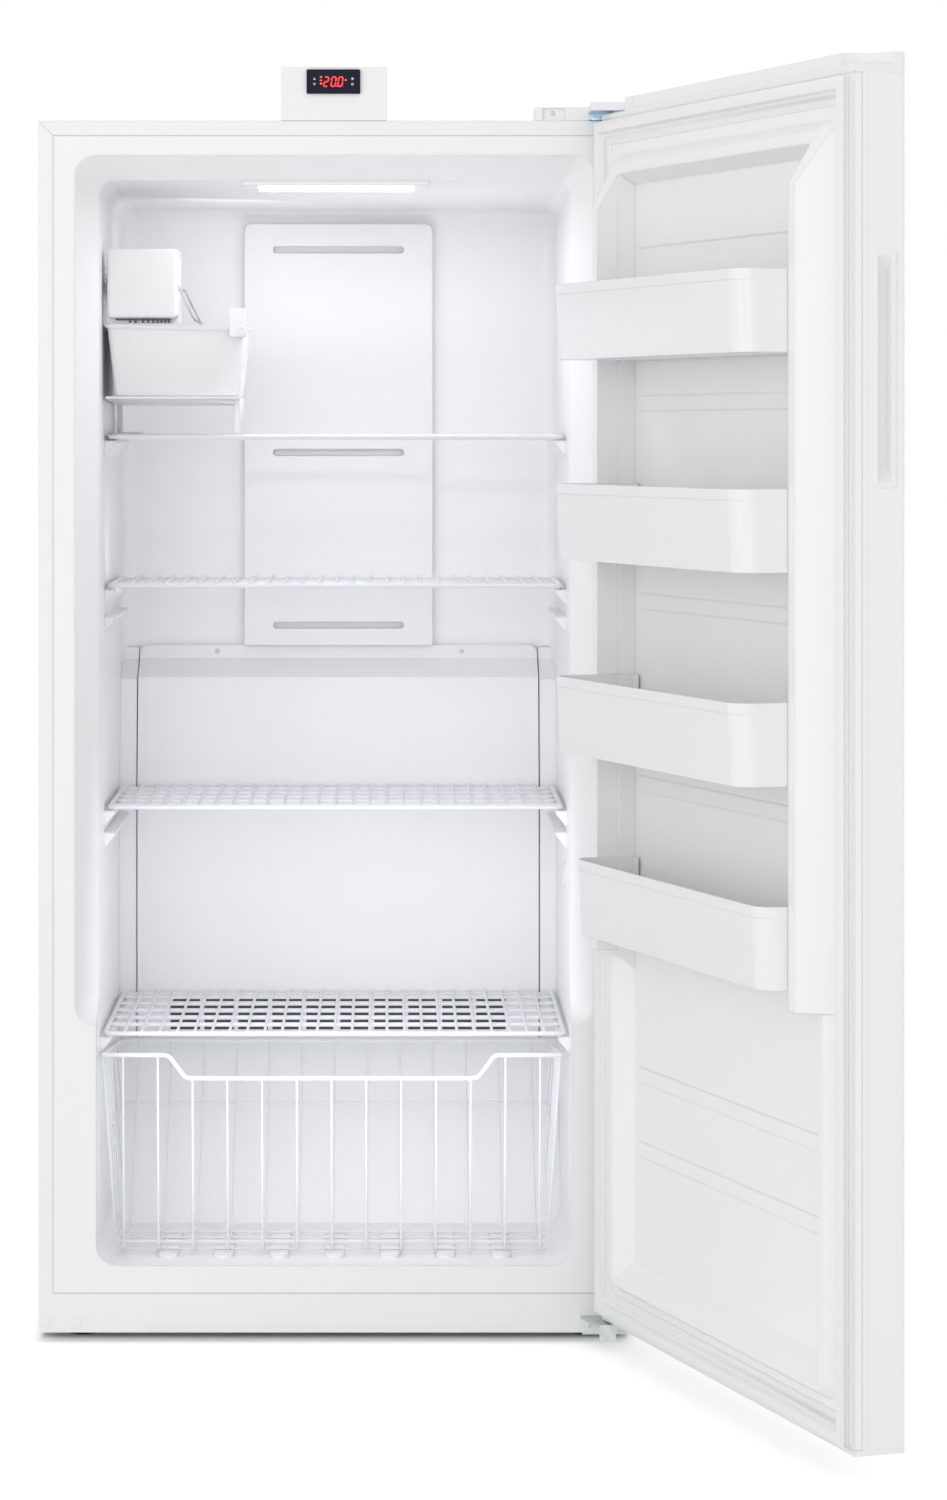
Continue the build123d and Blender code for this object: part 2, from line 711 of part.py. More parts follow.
def compressor():
    """Hermetic compressor on a plate with four rubber feet, and its terminal cover."""
    x = HALF - 295
    y = BACK - 150
    z = MACHINE_FLOOR
    shell = Pos(x, y, z + 95) * Cylinder(72, 150)
    shell = fillet(shell.edges().filter_by(GeomType.CIRCLE), 34)
    plate = block(x - 100, x + 100, y - 70, y + 70, z + 14, z + 22)
    feet = [
        rod(11.0, (x + dx, y + dy, z), (x + dx, y + dy, z + 15))
        for dx in (-86, 86)
        for dy in (-56, 56)
    ]
    box = block(x + 60, x + 92, y - 25, y + 25, z + 60, z + 115)
    return shell + ([plate, box] + feet)


def condenser():
    """Finned condenser block beside its fan."""
    x0, x1 = 125 - HALF, 215 - HALF
    y0, y1 = BACK - 200, BACK - 60
    z0, z1 = MACHINE_FLOOR, MACHINE_FLOOR + 150
    fins = [block(x0, x1, y, y + 1.2, z0, z1) for y in range(int(y0) + 8, int(y1) - 2, 11)]
    tubes = [
        rod(4.0, (x, y0 - 8, z), (x, y1 + 8, z))
        for x in (x0 + 22, x1 - 22)
        for z in (z0 + 25, z0 + 60, z0 + 95, z0 + 130)
    ]
    ends = [block(x0, x1, y, y + 2, z0, z1 + 6) for y in (y0, y1 - 2)]
    return ends[0] + (ends[1:] + fins + tubes)


CONDENSER_FAN_X = 275.0 - HALF
CONDENSER_FAN_RADIUS = 68.0


def condenser_fan():
    wheel = fan_wheel(CONDENSER_FAN_RADIUS, 20.0, 20.0, 3.0 + SHAFT_PLAY, 5)
    return Pos(CONDENSER_FAN_X, BACK - 130, MACHINE_FLOOR + 82) * Rot(0, 90, 0) * wheel


def condenser_fan_motor():
    """Motor on a folded stand; its shaft carries the condenser's fan."""
    y = BACK - 130
    z = MACHINE_FLOOR + 82
    x = CONDENSER_FAN_X
    motor = rod(28.0, (x + 38, y, z), (x + 78, y, z))
    shaft = rod(3.0, (x - 10, y, z), (x + 39, y, z))
    post = block(x + 55, x + 61, y - 25, y + 25, MACHINE_FLOOR, z)
    foot = block(x + 35, x + 80, y - 25, y + 25, MACHINE_FLOOR, MACHINE_FLOOR + 3)
    return motor + [shaft, post, foot]


def drip_pan():
    """Open pan that takes the defrost water."""
    x0, x1 = HALF - 175, HALF - 25
    y0, y1 = BACK - 270, BACK - 82
    pan = block(x0, x1, y0, y1, MACHINE_FLOOR, MACHINE_FLOOR + 40)
    return pan - block(x0 + 2, x1 - 2, y0 + 2, y1 - 2, MACHINE_FLOOR + 2, MACHINE_FLOOR + 45)


GLAND_X = HALF - 95.0
GLAND_Z = MACHINE_FLOOR + 62.0


def machine_cover():
    """Rear cover of the machines, with rows of louvre slots and the gland's hole."""
    inner = HALF - SHELL_STEEL
    cover = block(-inner, inner, BACK - BACK_STEEL, BACK, MACHINE_FLOOR - PAN_STEEL, MACHINE_TOP)
    slots = []
    for z in range(int(MACHINE_FLOOR) + 40, int(MACHINE_TOP) - 60, 22):
        for x in (-280, -150, -20):
            slots.append(block(x - 50, x + 50, BACK - 5, BACK + 5, z, z + 7))
    gland = rod(8.0, (GLAND_X, BACK - 5, GLAND_Z), (GLAND_X, BACK + 5, GLAND_Z))
    return cover - (slots + [gland])


def power_inlet():
    """Rubber gland where the mains lead enters the machine compartment."""
    x, z = GLAND_X, GLAND_Z
    body = rod(8.0, (x, BACK - 6, z), (x, BACK + 8, z))
    collar = rod(12.0, (x, BACK, z), (x, BACK + 4, z))
    inside = rod(12.0, (x, BACK - 6, z), (x, BACK - BACK_STEEL, z))
    return body + [collar, inside] - rod(4.0, (x, BACK - 10, z), (x, BACK + 12, z))


def levelling_foot(x):
    """Screw foot: a pad, a hexagon and the stud that turns in the bracket."""
    y = FRONT + FOOT_Y
    pad = fillet(rod(FOOT_RADIUS, (x, y, 0), (x, y, 8)).edges().group_by(Axis.Z)[-1], 2.0)
    nut = extrude(Pos(x, y, 8) * RegularPolygon(9.0, 6), amount=6)
    stud = rod(FOOT_STUD, (x, y, 13), (x, y, FOAM_BOTTOM - PAN_STEEL - 4))
    return pad + [nut, stud]


ROLLER_Y = BACK - ROLLER_INSET


def rear_rollers():
    """Two rollers at the back, on one line."""
    wheels = []
    for x in (-ROLLER_X, ROLLER_X):
        wheel = rod(ROLLER_RADIUS, (x - ROLLER_WIDTH / 2, ROLLER_Y, ROLLER_RADIUS), (x + ROLLER_WIDTH / 2, ROLLER_Y, ROLLER_RADIUS))
        wheel = fillet(wheel.edges(), 1.5)
        bore = rod(AXLE_RADIUS + SHAFT_PLAY, (x - 20, ROLLER_Y, ROLLER_RADIUS), (x + 20, ROLLER_Y, ROLLER_RADIUS))
        wheels.append(wheel - bore)
    return wheels


def roller_brackets():
    """Side cheeks under the machine floor and the axle through each roller."""
    pieces = []
    top = MACHINE_FLOOR - PAN_STEEL
    gap = ROLLER_WIDTH / 2 + 1.0
    for x in (-ROLLER_X, ROLLER_X):
        axle = rod(AXLE_RADIUS, (x - gap - 3, ROLLER_Y, ROLLER_RADIUS), (x + gap + 3, ROLLER_Y, ROLLER_RADIUS))
        cheeks = [
            block(x + side * gap, x + side * (gap + 3), ROLLER_Y - 14, ROLLER_Y + 14, 8, top)
            for side in (-1, 1)
        ]
        pieces.append(axle + cheeks)
    return pieces


def roller_wells():
    """Room for the rollers' tops in the machine floor."""
    gap = ROLLER_WIDTH / 2 + 1.0
    return [
        block(x - gap, x + gap, ROLLER_Y - 24, ROLLER_Y + 24, MACHINE_FLOOR - 8, MACHINE_FLOOR + 8)
        for x in (-ROLLER_X, ROLLER_X)
    ]


# ---------------------------------------------------------------- shelves and basket


def wire_shelf(height, front, back):
    """A coated wire shelf: rim wire, cross wires, and fine wires from front to back on top."""
    y0 = FRONT + front
    y1 = FRONT + back
    side = SHELF_HALF - SHELF_RAIL
    rail_z = height - 2.0
    corner = 12.0
    rail = bent_wire(
        SHELF_RAIL,
        [(-side, y1, rail_z), (-side, y0 + SHELF_RAIL, rail_z), (side, y0 + SHELF_RAIL, rail_z), (side, y1, rail_z)],
        corner,
    )
    cross_z = height - SHELF_WIRE - SHELF_CROSS + WELD
    rows = round((back - front) / SHELF_CROSS_PITCH)
    wires = []
    for i in range(1, rows + 1):
        y = y0 + SHELF_RAIL + (y1 - y0 - SHELF_RAIL - SHELF_CROSS) * i / rows
        wires.append(rod(SHELF_CROSS, (-side, y, cross_z), (side, y, cross_z)))
    count = int((side - 6) / SHELF_PITCH)
    for i in range(-count, count + 1):
        x = i * SHELF_PITCH
        wires.append(rod(SHELF_WIRE, (x, y0 + SHELF_RAIL, height), (x, y1, height)))
    return rail + wires


def basket_levels():
    """Heights of the basket's lowest wires: cross wires rest on the ribs, long wires lie on them."""
    low = FLOOR_Z + FLOOR_RIB_HEIGHT + SEAT_GAP + BASKET_WIRE
    return low, low + 2 * BASKET_WIRE - WELD


def basket_columns():
    middle = (BASKET_COUNT - 1) / 2
    return [BASKET_X + (i - middle) * BASKET_PITCH for i in range(BASKET_COUNT)]


def rim_height(x):
    """Height of the front rim wire above one column."""
    away = abs(x - BASKET_X)
    if away <= BASKET_DIP_INNER:
        return BASKET_DIP
    if away >= BASKET_DIP_OUTER:
        return BASKET_FRONT_TOP
    share = (away - BASKET_DIP_INNER) / (BASKET_DIP_OUTER - BASKET_DIP_INNER)
    return BASKET_DIP + share * (BASKET_FRONT_TOP - BASKET_DIP)


def basket_front_y(z):
    """The front leans back towards its foot."""
    foot = basket_levels()[1]
    share = (BASKET_FRONT_TOP - z) / (BASKET_FRONT_TOP - foot)
    return FRONT + BASKET_FRONT + share * (BASKET_FLOOR_FRONT - BASKET_FRONT)


def basket_side_x(z, side):
    """The sides lean in towards the foot."""
    foot = basket_levels()[0]
    share = (z - foot) / (BASKET_FRONT_TOP - foot)
    return BASKET_X + side * (BASKET_BOTTOM_HALF + share * (BASKET_TOP_HALF - BASKET_BOTTOM_HALF))


def basket_front():
    """Front of the basket: heavy rim with its dip, upright wires and the frame wire behind them."""
    foot = basket_levels()[1]
    start = FRONT + BASKET_FLOOR_FRONT
    rim_y = FRONT + BASKET_FRONT
    top = BASKET_FRONT_TOP
    rim = bent_wire(
        BASKET_RIM,
        [
            (BASKET_X - BASKET_TOP_HALF, rim_y, top),
            (BASKET_X - BASKET_DIP_OUTER, rim_y, top),
            (BASKET_X - BASKET_DIP_INNER, basket_front_y(BASKET_DIP), BASKET_DIP),
            (BASKET_X + BASKET_DIP_INNER, basket_front_y(BASKET_DIP), BASKET_DIP),
            (BASKET_X + BASKET_DIP_OUTER, rim_y, top),
            (BASKET_X + BASKET_TOP_HALF, rim_y, top),
        ],
        14.0,
    )
    wires = []
    for x in basket_columns():
        z = rim_height(x)
        wires.append(
            bent_wire(
                BASKET_WIRE,
                [(x, basket_front_y(z), z), (x, start, foot), (x, start + 2 * BASKET_BEND, foot)],
                BASKET_BEND,
            )
        )
    frame_z = basket_levels()[0] + 2
    behind = 2 * BASKET_WIRE - WELD
    frame = bent_wire(
        BASKET_WIRE,
        [
            (basket_side_x(top, -1), basket_front_y(top) + behind, top),
            (basket_side_x(frame_z, -1), basket_front_y(frame_z) + behind + 4, frame_z + 12),
            (basket_side_x(frame_z, 1), basket_front_y(frame_z) + behind + 4, frame_z + 12),
            (basket_side_x(top, 1), basket_front_y(top) + behind, top),
        ],
        BASKET_SIDE_BEND,
    )
    return rim + (wires + [frame])


def basket_back():
    """Sloping back of the basket, over the compressor hump."""
    foot = basket_levels()[1]
    end = FRONT + BASKET_FLOOR_BACK
    rear = FRONT + BASKET_BACK
    top = BASKET_REAR_TOP
    wires = []
    for x in basket_columns():
        wires.append(
            bent_wire(
                BASKET_WIRE,
                [(x, end - 2 * BASKET_BEND, foot), (x, end, foot), (x, rear, top)],
                BASKET_BEND,
            )
        )
    share = (BASKET_MID_Z - foot) / (top - foot)
    mid_y = end + share * (rear - end)
    mid = rod(
        BASKET_WIRE,
        (basket_side_x(BASKET_MID_Z, -1), mid_y + 1.9, BASKET_MID_Z - 1.9),
        (basket_side_x(BASKET_MID_Z, 1), mid_y + 1.9, BASKET_MID_Z - 1.9),
    )
    rim = rod(BASKET_RIM, (BASKET_X - BASKET_TOP_HALF, rear, top), (BASKET_X + BASKET_TOP_HALF, rear, top))
    return rim + (wires + [mid])


def basket_rows():
    """Depths of the cross wires under the basket's floor."""
    first = FRONT + BASKET_FLOOR_FRONT + 2 * BASKET_BEND + 6
    last = FRONT + BASKET_FLOOR_BACK - 2 * BASKET_BEND - 6
    return [first + i * (last - first) / 3 for i in range(4)]


def basket_floor():
    """Floor of the basket: long wires between the front's and the back's, on four cross wires."""
    low, foot = basket_levels()
    start = FRONT + BASKET_FLOOR_FRONT + 2 * BASKET_BEND
    end = FRONT + BASKET_FLOOR_BACK - 2 * BASKET_BEND
    wires = [rod(BASKET_WIRE, (x, start, foot), (x, end, foot)) for x in basket_columns()]
    reach = BASKET_BOTTOM_HALF - BASKET_SIDE_BEND - 2
    for y in basket_rows():
        wires.append(rod(BASKET_WIRE, (BASKET_X - reach, y, low), (BASKET_X + reach, y, low)))
    return wires[0] + wires[1:]


def side_rim_height(y):
    share = (y - FRONT - BASKET_FRONT) / (BASKET_BACK - BASKET_FRONT)
    return BASKET_FRONT_TOP - share * (BASKET_FRONT_TOP - BASKET_REAR_TOP)


def basket_side(side):
    """One side of the basket: the cross wires' turned-up ends under a heavy rim wire."""
    low = basket_levels()[0]
    reach = BASKET_BOTTOM_HALF - BASKET_SIDE_BEND - 2
    x_top = BASKET_X + side * BASKET_TOP_HALF
    front = FRONT + BASKET_FRONT
    back = FRONT + BASKET_BACK
    rim = rod(BASKET_RIM, (x_top, front, side_rim_height(front)), (x_top, back, side_rim_height(back)))
    wires = []
    for y in basket_rows():
        z = side_rim_height(y)
        wires.append(
            bent_wire(
                BASKET_WIRE,
                [(BASKET_X + side * reach, y, low), (basket_side_x(low, side), y, low), (x_top, y, z)],
                BASKET_SIDE_BEND,
            )
        )
    foot = basket_levels()[1]
    for share in (0.28, 0.62):
        y = FRONT + BASKET_FLOOR_BACK + share * (BASKET_BACK - BASKET_FLOOR_BACK)
        z = foot + share * (BASKET_REAR_TOP - foot)
        wires.append(rod(BASKET_WIRE, (basket_side_x(z, side), y, z), (x_top, y, side_rim_height(y))))
    rail_low = BASKET_MID_Z
    wires.append(
        rod(
            BASKET_WIRE,
            (basket_side_x(rail_low, side), basket_rows()[0] - 8, rail_low),
            (basket_side_x(rail_low, side), FRONT + BASKET_FLOOR_BACK + 0.62 * (BASKET_BACK - BASKET_FLOOR_BACK) + 6, rail_low),
        )
    )
    return rim + wires


# ---------------------------------------------------------------- ice maker


def ice_maker_cover():
    """Square housing of the ice maker's works, at its front."""
    y0 = FRONT + ICE_FRONT
    x1 = ICE_LEFT + ICE_WIDTH
    body = block(ICE_LEFT, x1, y0, y0 + ICE_HEAD_DEPTH, ICE_BOTTOM, ICE_BOTTOM + ICE_HEIGHT)
    body = fillet(body.edges().filter_by(Axis.Y), 5.5)
    body = fillet(body.edges().group_by(Axis.Y)[0], 3.0)
    hollow = block(
        ICE_LEFT + ICE_WALL,
        x1 - ICE_WALL,
        y0 + ICE_WALL + 1,
        y0 + ICE_HEAD_DEPTH + 5,
        ICE_BOTTOM + ICE_WALL,
        ICE_BOTTOM + ICE_HEIGHT - ICE_WALL,
    )
    hollow = fillet(hollow.edges().filter_by(Axis.Y), 5.0)
    return body - hollow


def mould_axis():
    """Middle of the mould's trough: the ejector turns about it."""
    return ICE_LEFT + 6 + ICE_MOULD_RADIUS + ICE_WALL + 6, ICE_BOTTOM + 80


def ice_maker_mould():
    """Cast mould behind the housing, with its trough, end walls and the bracket to the liner."""
    x, z = mould_axis()
    y0 = FRONT + ICE_FRONT + ICE_HEAD_DEPTH
    y1 = y0 + ICE_MOULD_LENGTH
    outer = ICE_MOULD_RADIUS + ICE_WALL
    body = block(x - outer, x + outer, y0, y1, z - outer - 4, z)
    body = body - rod(ICE_MOULD_RADIUS, (x, y0 + ICE_WALL, z), (x, y1 - ICE_WALL, z))
    ends = [block(x - outer, x + outer, y, y + ICE_WALL, z, z + 10) for y in (y0, y1 - ICE_WALL)]
    bracket = block(-INNER_HALF, x - outer, y0 + 20, y1 - 20, z - 18, z - 10)
    works = block(x - 30, x + 30, y0 - 30, y0, z - 40, z + 8)
    plate = block(ICE_LEFT, ICE_LEFT + ICE_WIDTH, y0, y0 + 2, ICE_BOTTOM, ICE_BOTTOM + ICE_HEIGHT)
    plate = fillet(plate.edges().filter_by(Axis.Y), 5.5)
    bail_ears = [
        block(x + outer, x + outer + 10, y, y + ICE_WALL, z - 30, z - 14) for y in (y0 + 4, y1 - 4 - ICE_WALL)
    ]
    mould = body + (ends + [bracket, works, plate] + bail_ears)
    bail_x, bail_z = bail_axis()
    mould = mould - rod(2.0 + SHAFT_PLAY, (bail_x, y0 - 60, bail_z), (bail_x, y1 + 60, bail_z))
    return mould - rod(4.0 + SHAFT_PLAY, (x, y0 - 20, z), (x, y1 + 20, z))


def ice_ejector():
    """Shaft with fingers that sweep the cubes out of the mould."""
    x, z = mould_axis()
    y0 = FRONT + ICE_FRONT + ICE_HEAD_DEPTH
    y1 = y0 + ICE_MOULD_LENGTH
    shaft = rod(4.0, (x, y0 - 15, z), (x, y1 + 4, z))
    fingers = []
    for i in range(EJECTOR_FINGERS):
        y = y0 + ICE_MOULD_LENGTH * (i + 0.5) / EJECTOR_FINGERS
        fingers.append(block(x - 2.5, x + 2.5, y - 3, y + 3, z, z + ICE_MOULD_RADIUS - 5))
    return shaft + fingers


def bail_axis():
    x, z = mould_axis()
    return x + ICE_MOULD_RADIUS + ICE_WALL + 5, z - 22


def ice_maker_arm():
    """Wire bail that feels how full the ice bin is."""
    x, z = bail_axis()
    y0 = FRONT + ICE_FRONT + ICE_HEAD_DEPTH + 3
    y1 = y0 + ICE_MOULD_LENGTH - 6
    drop_x = x + 22
    drop_z = ICE_BOTTOM - 2
    return bent_wire(
        2.0,
        [
            (x, y0 - 6, z),
            (x, y0 + 20, z),
            (drop_x, y0 + 20, drop_z),
            (drop_x, y1 - 20, drop_z),
            (x, y1 - 20, z),
            (x, y1 + 6, z),
        ],
        6.0,
    )


def ice_bin():
    """Tapered ice bin with a lip, a lower back wall and a pull tab at its right front corner."""
    y0 = FRONT + ICE_FRONT + 1
    y1 = y0 + ICE_BIN_DEPTH

    def box(inset, bottom, top):
        sections = []
        for z, taper in ((bottom, ICE_BIN_TAPER), (top, 0.0)):
            x0 = ICE_BIN_LEFT + 4 + inset + taper
            x1 = ICE_BIN_RIGHT - 4 - inset - taper
            plane = Plane(origin=((x0 + x1) / 2, (y0 + y1) / 2, z))
            depth = ICE_BIN_DEPTH - 8 - 2 * inset - 2 * taper
            sections.append(plane * RectangleRounded(x1 - x0, depth, 10.0 - inset))
        return loft(sections, ruled=True)

    body = box(0, ICE_BIN_BOTTOM, ICE_BIN_TOP)
    lip = block(ICE_BIN_LEFT, ICE_BIN_RIGHT, y0, y1, ICE_BIN_TOP - 8, ICE_BIN_TOP)
    lip = fillet(lip.edges().filter_by(Axis.Z), 12.0)
    tab = block(ICE_BIN_RIGHT - 24, ICE_BIN_RIGHT, y0, y0 + 16, ICE_BIN_TOP - 30, ICE_BIN_TOP + 24)
    tab = fillet(tab.edges().filter_by(Axis.Y), 6.0)
    body = body + [lip, tab]
    body = body - box(ICE_BIN_WALL, ICE_BIN_BOTTOM + ICE_BIN_WALL, ICE_BIN_TOP + 0.01)
    return body - block(ICE_BIN_LEFT + 20, ICE_BIN_RIGHT - 20, y1 - 24, y1 + 5, ICE_BIN_BACK_TOP, FAR)


def ice_bin_stand():
    """Wedge-shaped tray under the ice bin, on the top shelf: a panel at the right, a post at the left rear."""
    y0 = FRONT + STAND_FRONT
    y1 = FRONT + ICE_FRONT + ICE_BIN_DEPTH
    step = FRONT + SHELF_FRONTS[0] + 10
    top = ICE_BIN_BOTTOM - SEAT_GAP
    foot = SHELF_HEIGHTS[0] + SHELF_WIRE + SHAFT_PLAY
    right = ICE_BIN_RIGHT - 12
    left = ICE_BIN_LEFT + 2
    tray = prism([(y0, top - STAND_PLATE), (y1, top - STAND_DEEP), (y1, top), (y0, top)], "X", left, right)
    panel = block(right - STAND_LEG, right, step, y1, foot, top - 1)
    panel_foot = block(right - STAND_FOOT, right, step, y1, foot, foot + 2.5)
    post = block(left, left + STAND_LEG, y1 - STAND_POST, y1, foot, top - 1)
    post_foot = block(left, left + STAND_FOOT + 14, y1 - STAND_POST, y1, foot, foot + 2.5)
    return tray + [panel, panel_foot, post, post_foot]


# ---------------------------------------------------------------- controller


def control_housing():
    """Box on the roof that holds the temperature controller."""
    top = SHELL_TOP + CONTROL_HEIGHT
    box = block(-CONTROL_HALF, CONTROL_HALF, FRONT, FRONT + CONTROL_DEPTH, SHELL_TOP, top)
    eased = [e for e in box.edges() if e.center().Z > SHELL_TOP + 1]
    box = fillet(eased, 1.2)
    wall = CONTROL_WALL
    hollow = block(
        -CONTROL_HALF + wall,
        CONTROL_HALF - wall,
        FRONT + wall,
        FRONT + CONTROL_DEPTH - wall,
        SHELL_TOP - 5,
        top - wall,
    )
    window = block(
        BEZEL_X - MODULE_WIDTH / 2,
        BEZEL_X + MODULE_WIDTH / 2,
        FRONT - 5,
        FRONT + 10,
        BEZEL_Z - MODULE_HEIGHT / 2,
        BEZEL_Z + MODULE_HEIGHT / 2,
    )
    return box - hollow - window


def key_places():
    """Names and middles of the four keys on the controller's face."""
    return {
        "key_up": (BEZEL_X - KEY_X, BEZEL_Z + KEY_Z),
        "key_down": (BEZEL_X - KEY_X, BEZEL_Z - KEY_Z),
        "key_light": (BEZEL_X + KEY_X, BEZEL_Z + KEY_Z),
        "key_set": (BEZEL_X + KEY_X, BEZEL_Z - KEY_Z),
    }


def control_module():
    """The panel controller: dark face over the cut-out, works behind it, wells for the keys."""
    face = rounded_plate(
        BEZEL_X - BEZEL_WIDTH / 2,
        BEZEL_X + BEZEL_WIDTH / 2,
        BEZEL_Z - BEZEL_HEIGHT / 2,
        BEZEL_Z + BEZEL_HEIGHT / 2,
        FRONT - BEZEL_PROUD,
        FRONT,
        2.0,
    )
    works = block(
        BEZEL_X - MODULE_WIDTH / 2,
        BEZEL_X + MODULE_WIDTH / 2,
        FRONT,
        FRONT + MODULE_DEPTH,
        BEZEL_Z - MODULE_HEIGHT / 2,
        BEZEL_Z + MODULE_HEIGHT / 2,
    )
    module = face + works
    half = KEY_SIZE / 2 + KEY_PLAY
    for x, z in key_places().values():
        module = module - block(x - half, x + half, FRONT - 10, FRONT - 1, z - half, z + half)
    return module


def key(x, z):
    half = KEY_SIZE / 2
    face = FRONT - BEZEL_PROUD - KEY_PROUD
    cap = block(x - half, x + half, face, FRONT - 1 - KEY_TRAVEL - 0.1, z - half, z + half)
    return fillet(cap.edges().filter_by(Axis.Y), 0.8)


# ---------------------------------------------------------------- hinges

ARM_BOTTOM = DOOR_TOP + 1.5
ARM_TOP = ARM_BOTTOM + 3.5
ARM_RADIUS = 12.0
COVER_LEFT = HALF - 136.0
COVER_HOOD = HALF - 60.0
COVER_TOP = SHELL_TOP + 19.0
HOOD_BOTTOM = ARM_TOP
HOOD_TOP = SHELL_TOP + 21.4
HOOD_RIGHT = HALF - 7.0
HOOD_FRONT = 22.0            # hood ahead of the hinge axis
SCREW_X = HALF - 111.0
SCREW_Z = SHELL_TOP + 10.4


def top_hinge_bracket():
    """Steel hinge on the roof: base plate, riser, the arm over the door and its pin."""
    base = block(COVER_LEFT + 10, HOOD_RIGHT - 3, FRONT + 16, FRONT + 62, SHELL_TOP, SHELL_TOP + 4)
    riser = block(COVER_HOOD + 4.5, HALF - 3, FRONT - 8, FRONT + 5, SHELL_TOP, ARM_TOP)
    riser = riser + block(COVER_HOOD + 4.5, HOOD_RIGHT - 3, FRONT + 4, FRONT + 18, SHELL_TOP, SHELL_TOP + 4)
    arm = block(HINGE_X - ARM_RADIUS, HINGE_X + ARM_RADIUS, HINGE_Y, FRONT + 6, ARM_BOTTOM, ARM_TOP)
    tip = rod(ARM_RADIUS, (HINGE_X, HINGE_Y, ARM_BOTTOM), (HINGE_X, HINGE_Y, ARM_TOP))
    pin = rod(PIN_RADIUS, (HINGE_X, HINGE_Y, DOOR_PANEL_TOP + 2), (HINGE_X, HINGE_Y, ARM_TOP))
    return base + [riser, arm, tip, pin]


def top_hinge_cover():
    """White cover over the roof hinge: a low box with a screw pocket, and a hood over the arm."""
    wall = 2.0
    y1 = FRONT + 75
    box = block(COVER_LEFT, COVER_HOOD + 4, FRONT + 2, y1, SHELL_TOP, COVER_TOP)
    side = block(COVER_HOOD + 4, HOOD_RIGHT, FRONT + 16, y1, SHELL_TOP, HOOD_BOTTOM + 2)
    hood = block(COVER_HOOD, HOOD_RIGHT, HINGE_Y - HOOD_FRONT, y1, HOOD_BOTTOM, HOOD_TOP)
    hood = fillet([e for e in hood.edges().filter_by(Axis.Y) if e.center().Z > HOOD_TOP - 1], 3.0)
    box_room = block(
        COVER_LEFT + wall, HOOD_RIGHT - wall, FRONT + 2 + wall, y1 - wall, SHELL_TOP - 5, COVER_TOP - wall
    )
    hood_room = block(
        COVER_HOOD + wall, HOOD_RIGHT - wall, HINGE_Y - HOOD_FRONT + wall, y1 - wall, SHELL_TOP - 5, HOOD_TOP - wall
    )
    pocket = block(SCREW_X - 14.5, SCREW_X + 18, FRONT - 5, FRONT + 5, SHELL_TOP - 5, COVER_TOP - 1.8)
    pocket_back = block(SCREW_X - 15.5, SCREW_X + 19, FRONT + 5, FRONT + 7, SHELL_TOP, COVER_TOP - 1)
    return (box + [side, hood]) - (box_room + hood_room) + pocket_back - pocket


def screw_head(radius, x, z, face, out):
    """Pan-head screw on an upright face."""
    head = rod(radius, (x, face, z), (x, face - out, z))
    return fillet(head.edges().group_by(Axis.Y)[0], out * 0.4)


BOTTOM_ARM_TOP = DOOR_BOTTOM - 2.0
BOTTOM_ARM_PLATE = 4.5
BOTTOM_PLATE = 3.0
STOP_LEFT = HALF - 47.0
STOP_RIGHT = HALF - 24.0


def bottom_hinge_bracket():
    """Zinc-plated lower hinge: a screwed plate, the arm, the pin and a turned-down stop tab."""
    plate = block(HALF - 69, HALF - 3, FRONT - BOTTOM_PLATE, FRONT, SHELL_BOTTOM - 2, BOTTOM_ARM_TOP)
    low = BOTTOM_ARM_TOP - BOTTOM_ARM_PLATE
    tip = HINGE_Y - 22
    outline = [
        (HALF - 71, FRONT - 1),
        (STOP_LEFT, tip),
        (STOP_RIGHT, tip),
        (HALF - 2, HINGE_Y + 2),
        (HALF - 2, FRONT - 1),
    ]
    arm = prism(outline, "Z", low, BOTTOM_ARM_TOP)
    arm = arm - block(-FAR, FAR, FRONT, FAR, -FAR, FAR)
    tab = block(STOP_LEFT, STOP_RIGHT, tip - 3, tip, SHELL_BOTTOM, BOTTOM_ARM_TOP)
    pin = rod(PIN_RADIUS, (HINGE_X, HINGE_Y, low + 1), (HINGE_X, HINGE_Y, DOOR_PANEL_BOTTOM - 2))
    return plate + [arm, tab, pin]


def cabinet_screws():
    """Visible screws: evaporator cover, hinge cover, lower hinge plate."""
    screws = [screw_head(4.0, x, EVAP_TOP - 9.5, INNER_BACK - 10, 2.0) for x in (-191, 194)]
    screws.append(screw_head(3.5, SCREW_X, SCREW_Z, FRONT + 5, 2.5))
    screws += [screw_head(4.5, x, z, FRONT - BOTTOM_PLATE, 3.0) for x, z in ((HALF - 58, 26), (HALF - 14, 23))]
    return screws


# ---------------------------------------------------------------- door


def door_bush_holes():
    top = rod(BUSH_RADIUS, (HINGE_X, HINGE_Y, DOOR_PANEL_TOP), (HINGE_X, HINGE_Y, DOOR_TOP + 5))
    bottom = rod(BUSH_RADIUS, (HINGE_X, HINGE_Y, DOOR_BOTTOM - 5), (HINGE_X, HINGE_Y, DOOR_PANEL_BOTTOM))
    return top, bottom


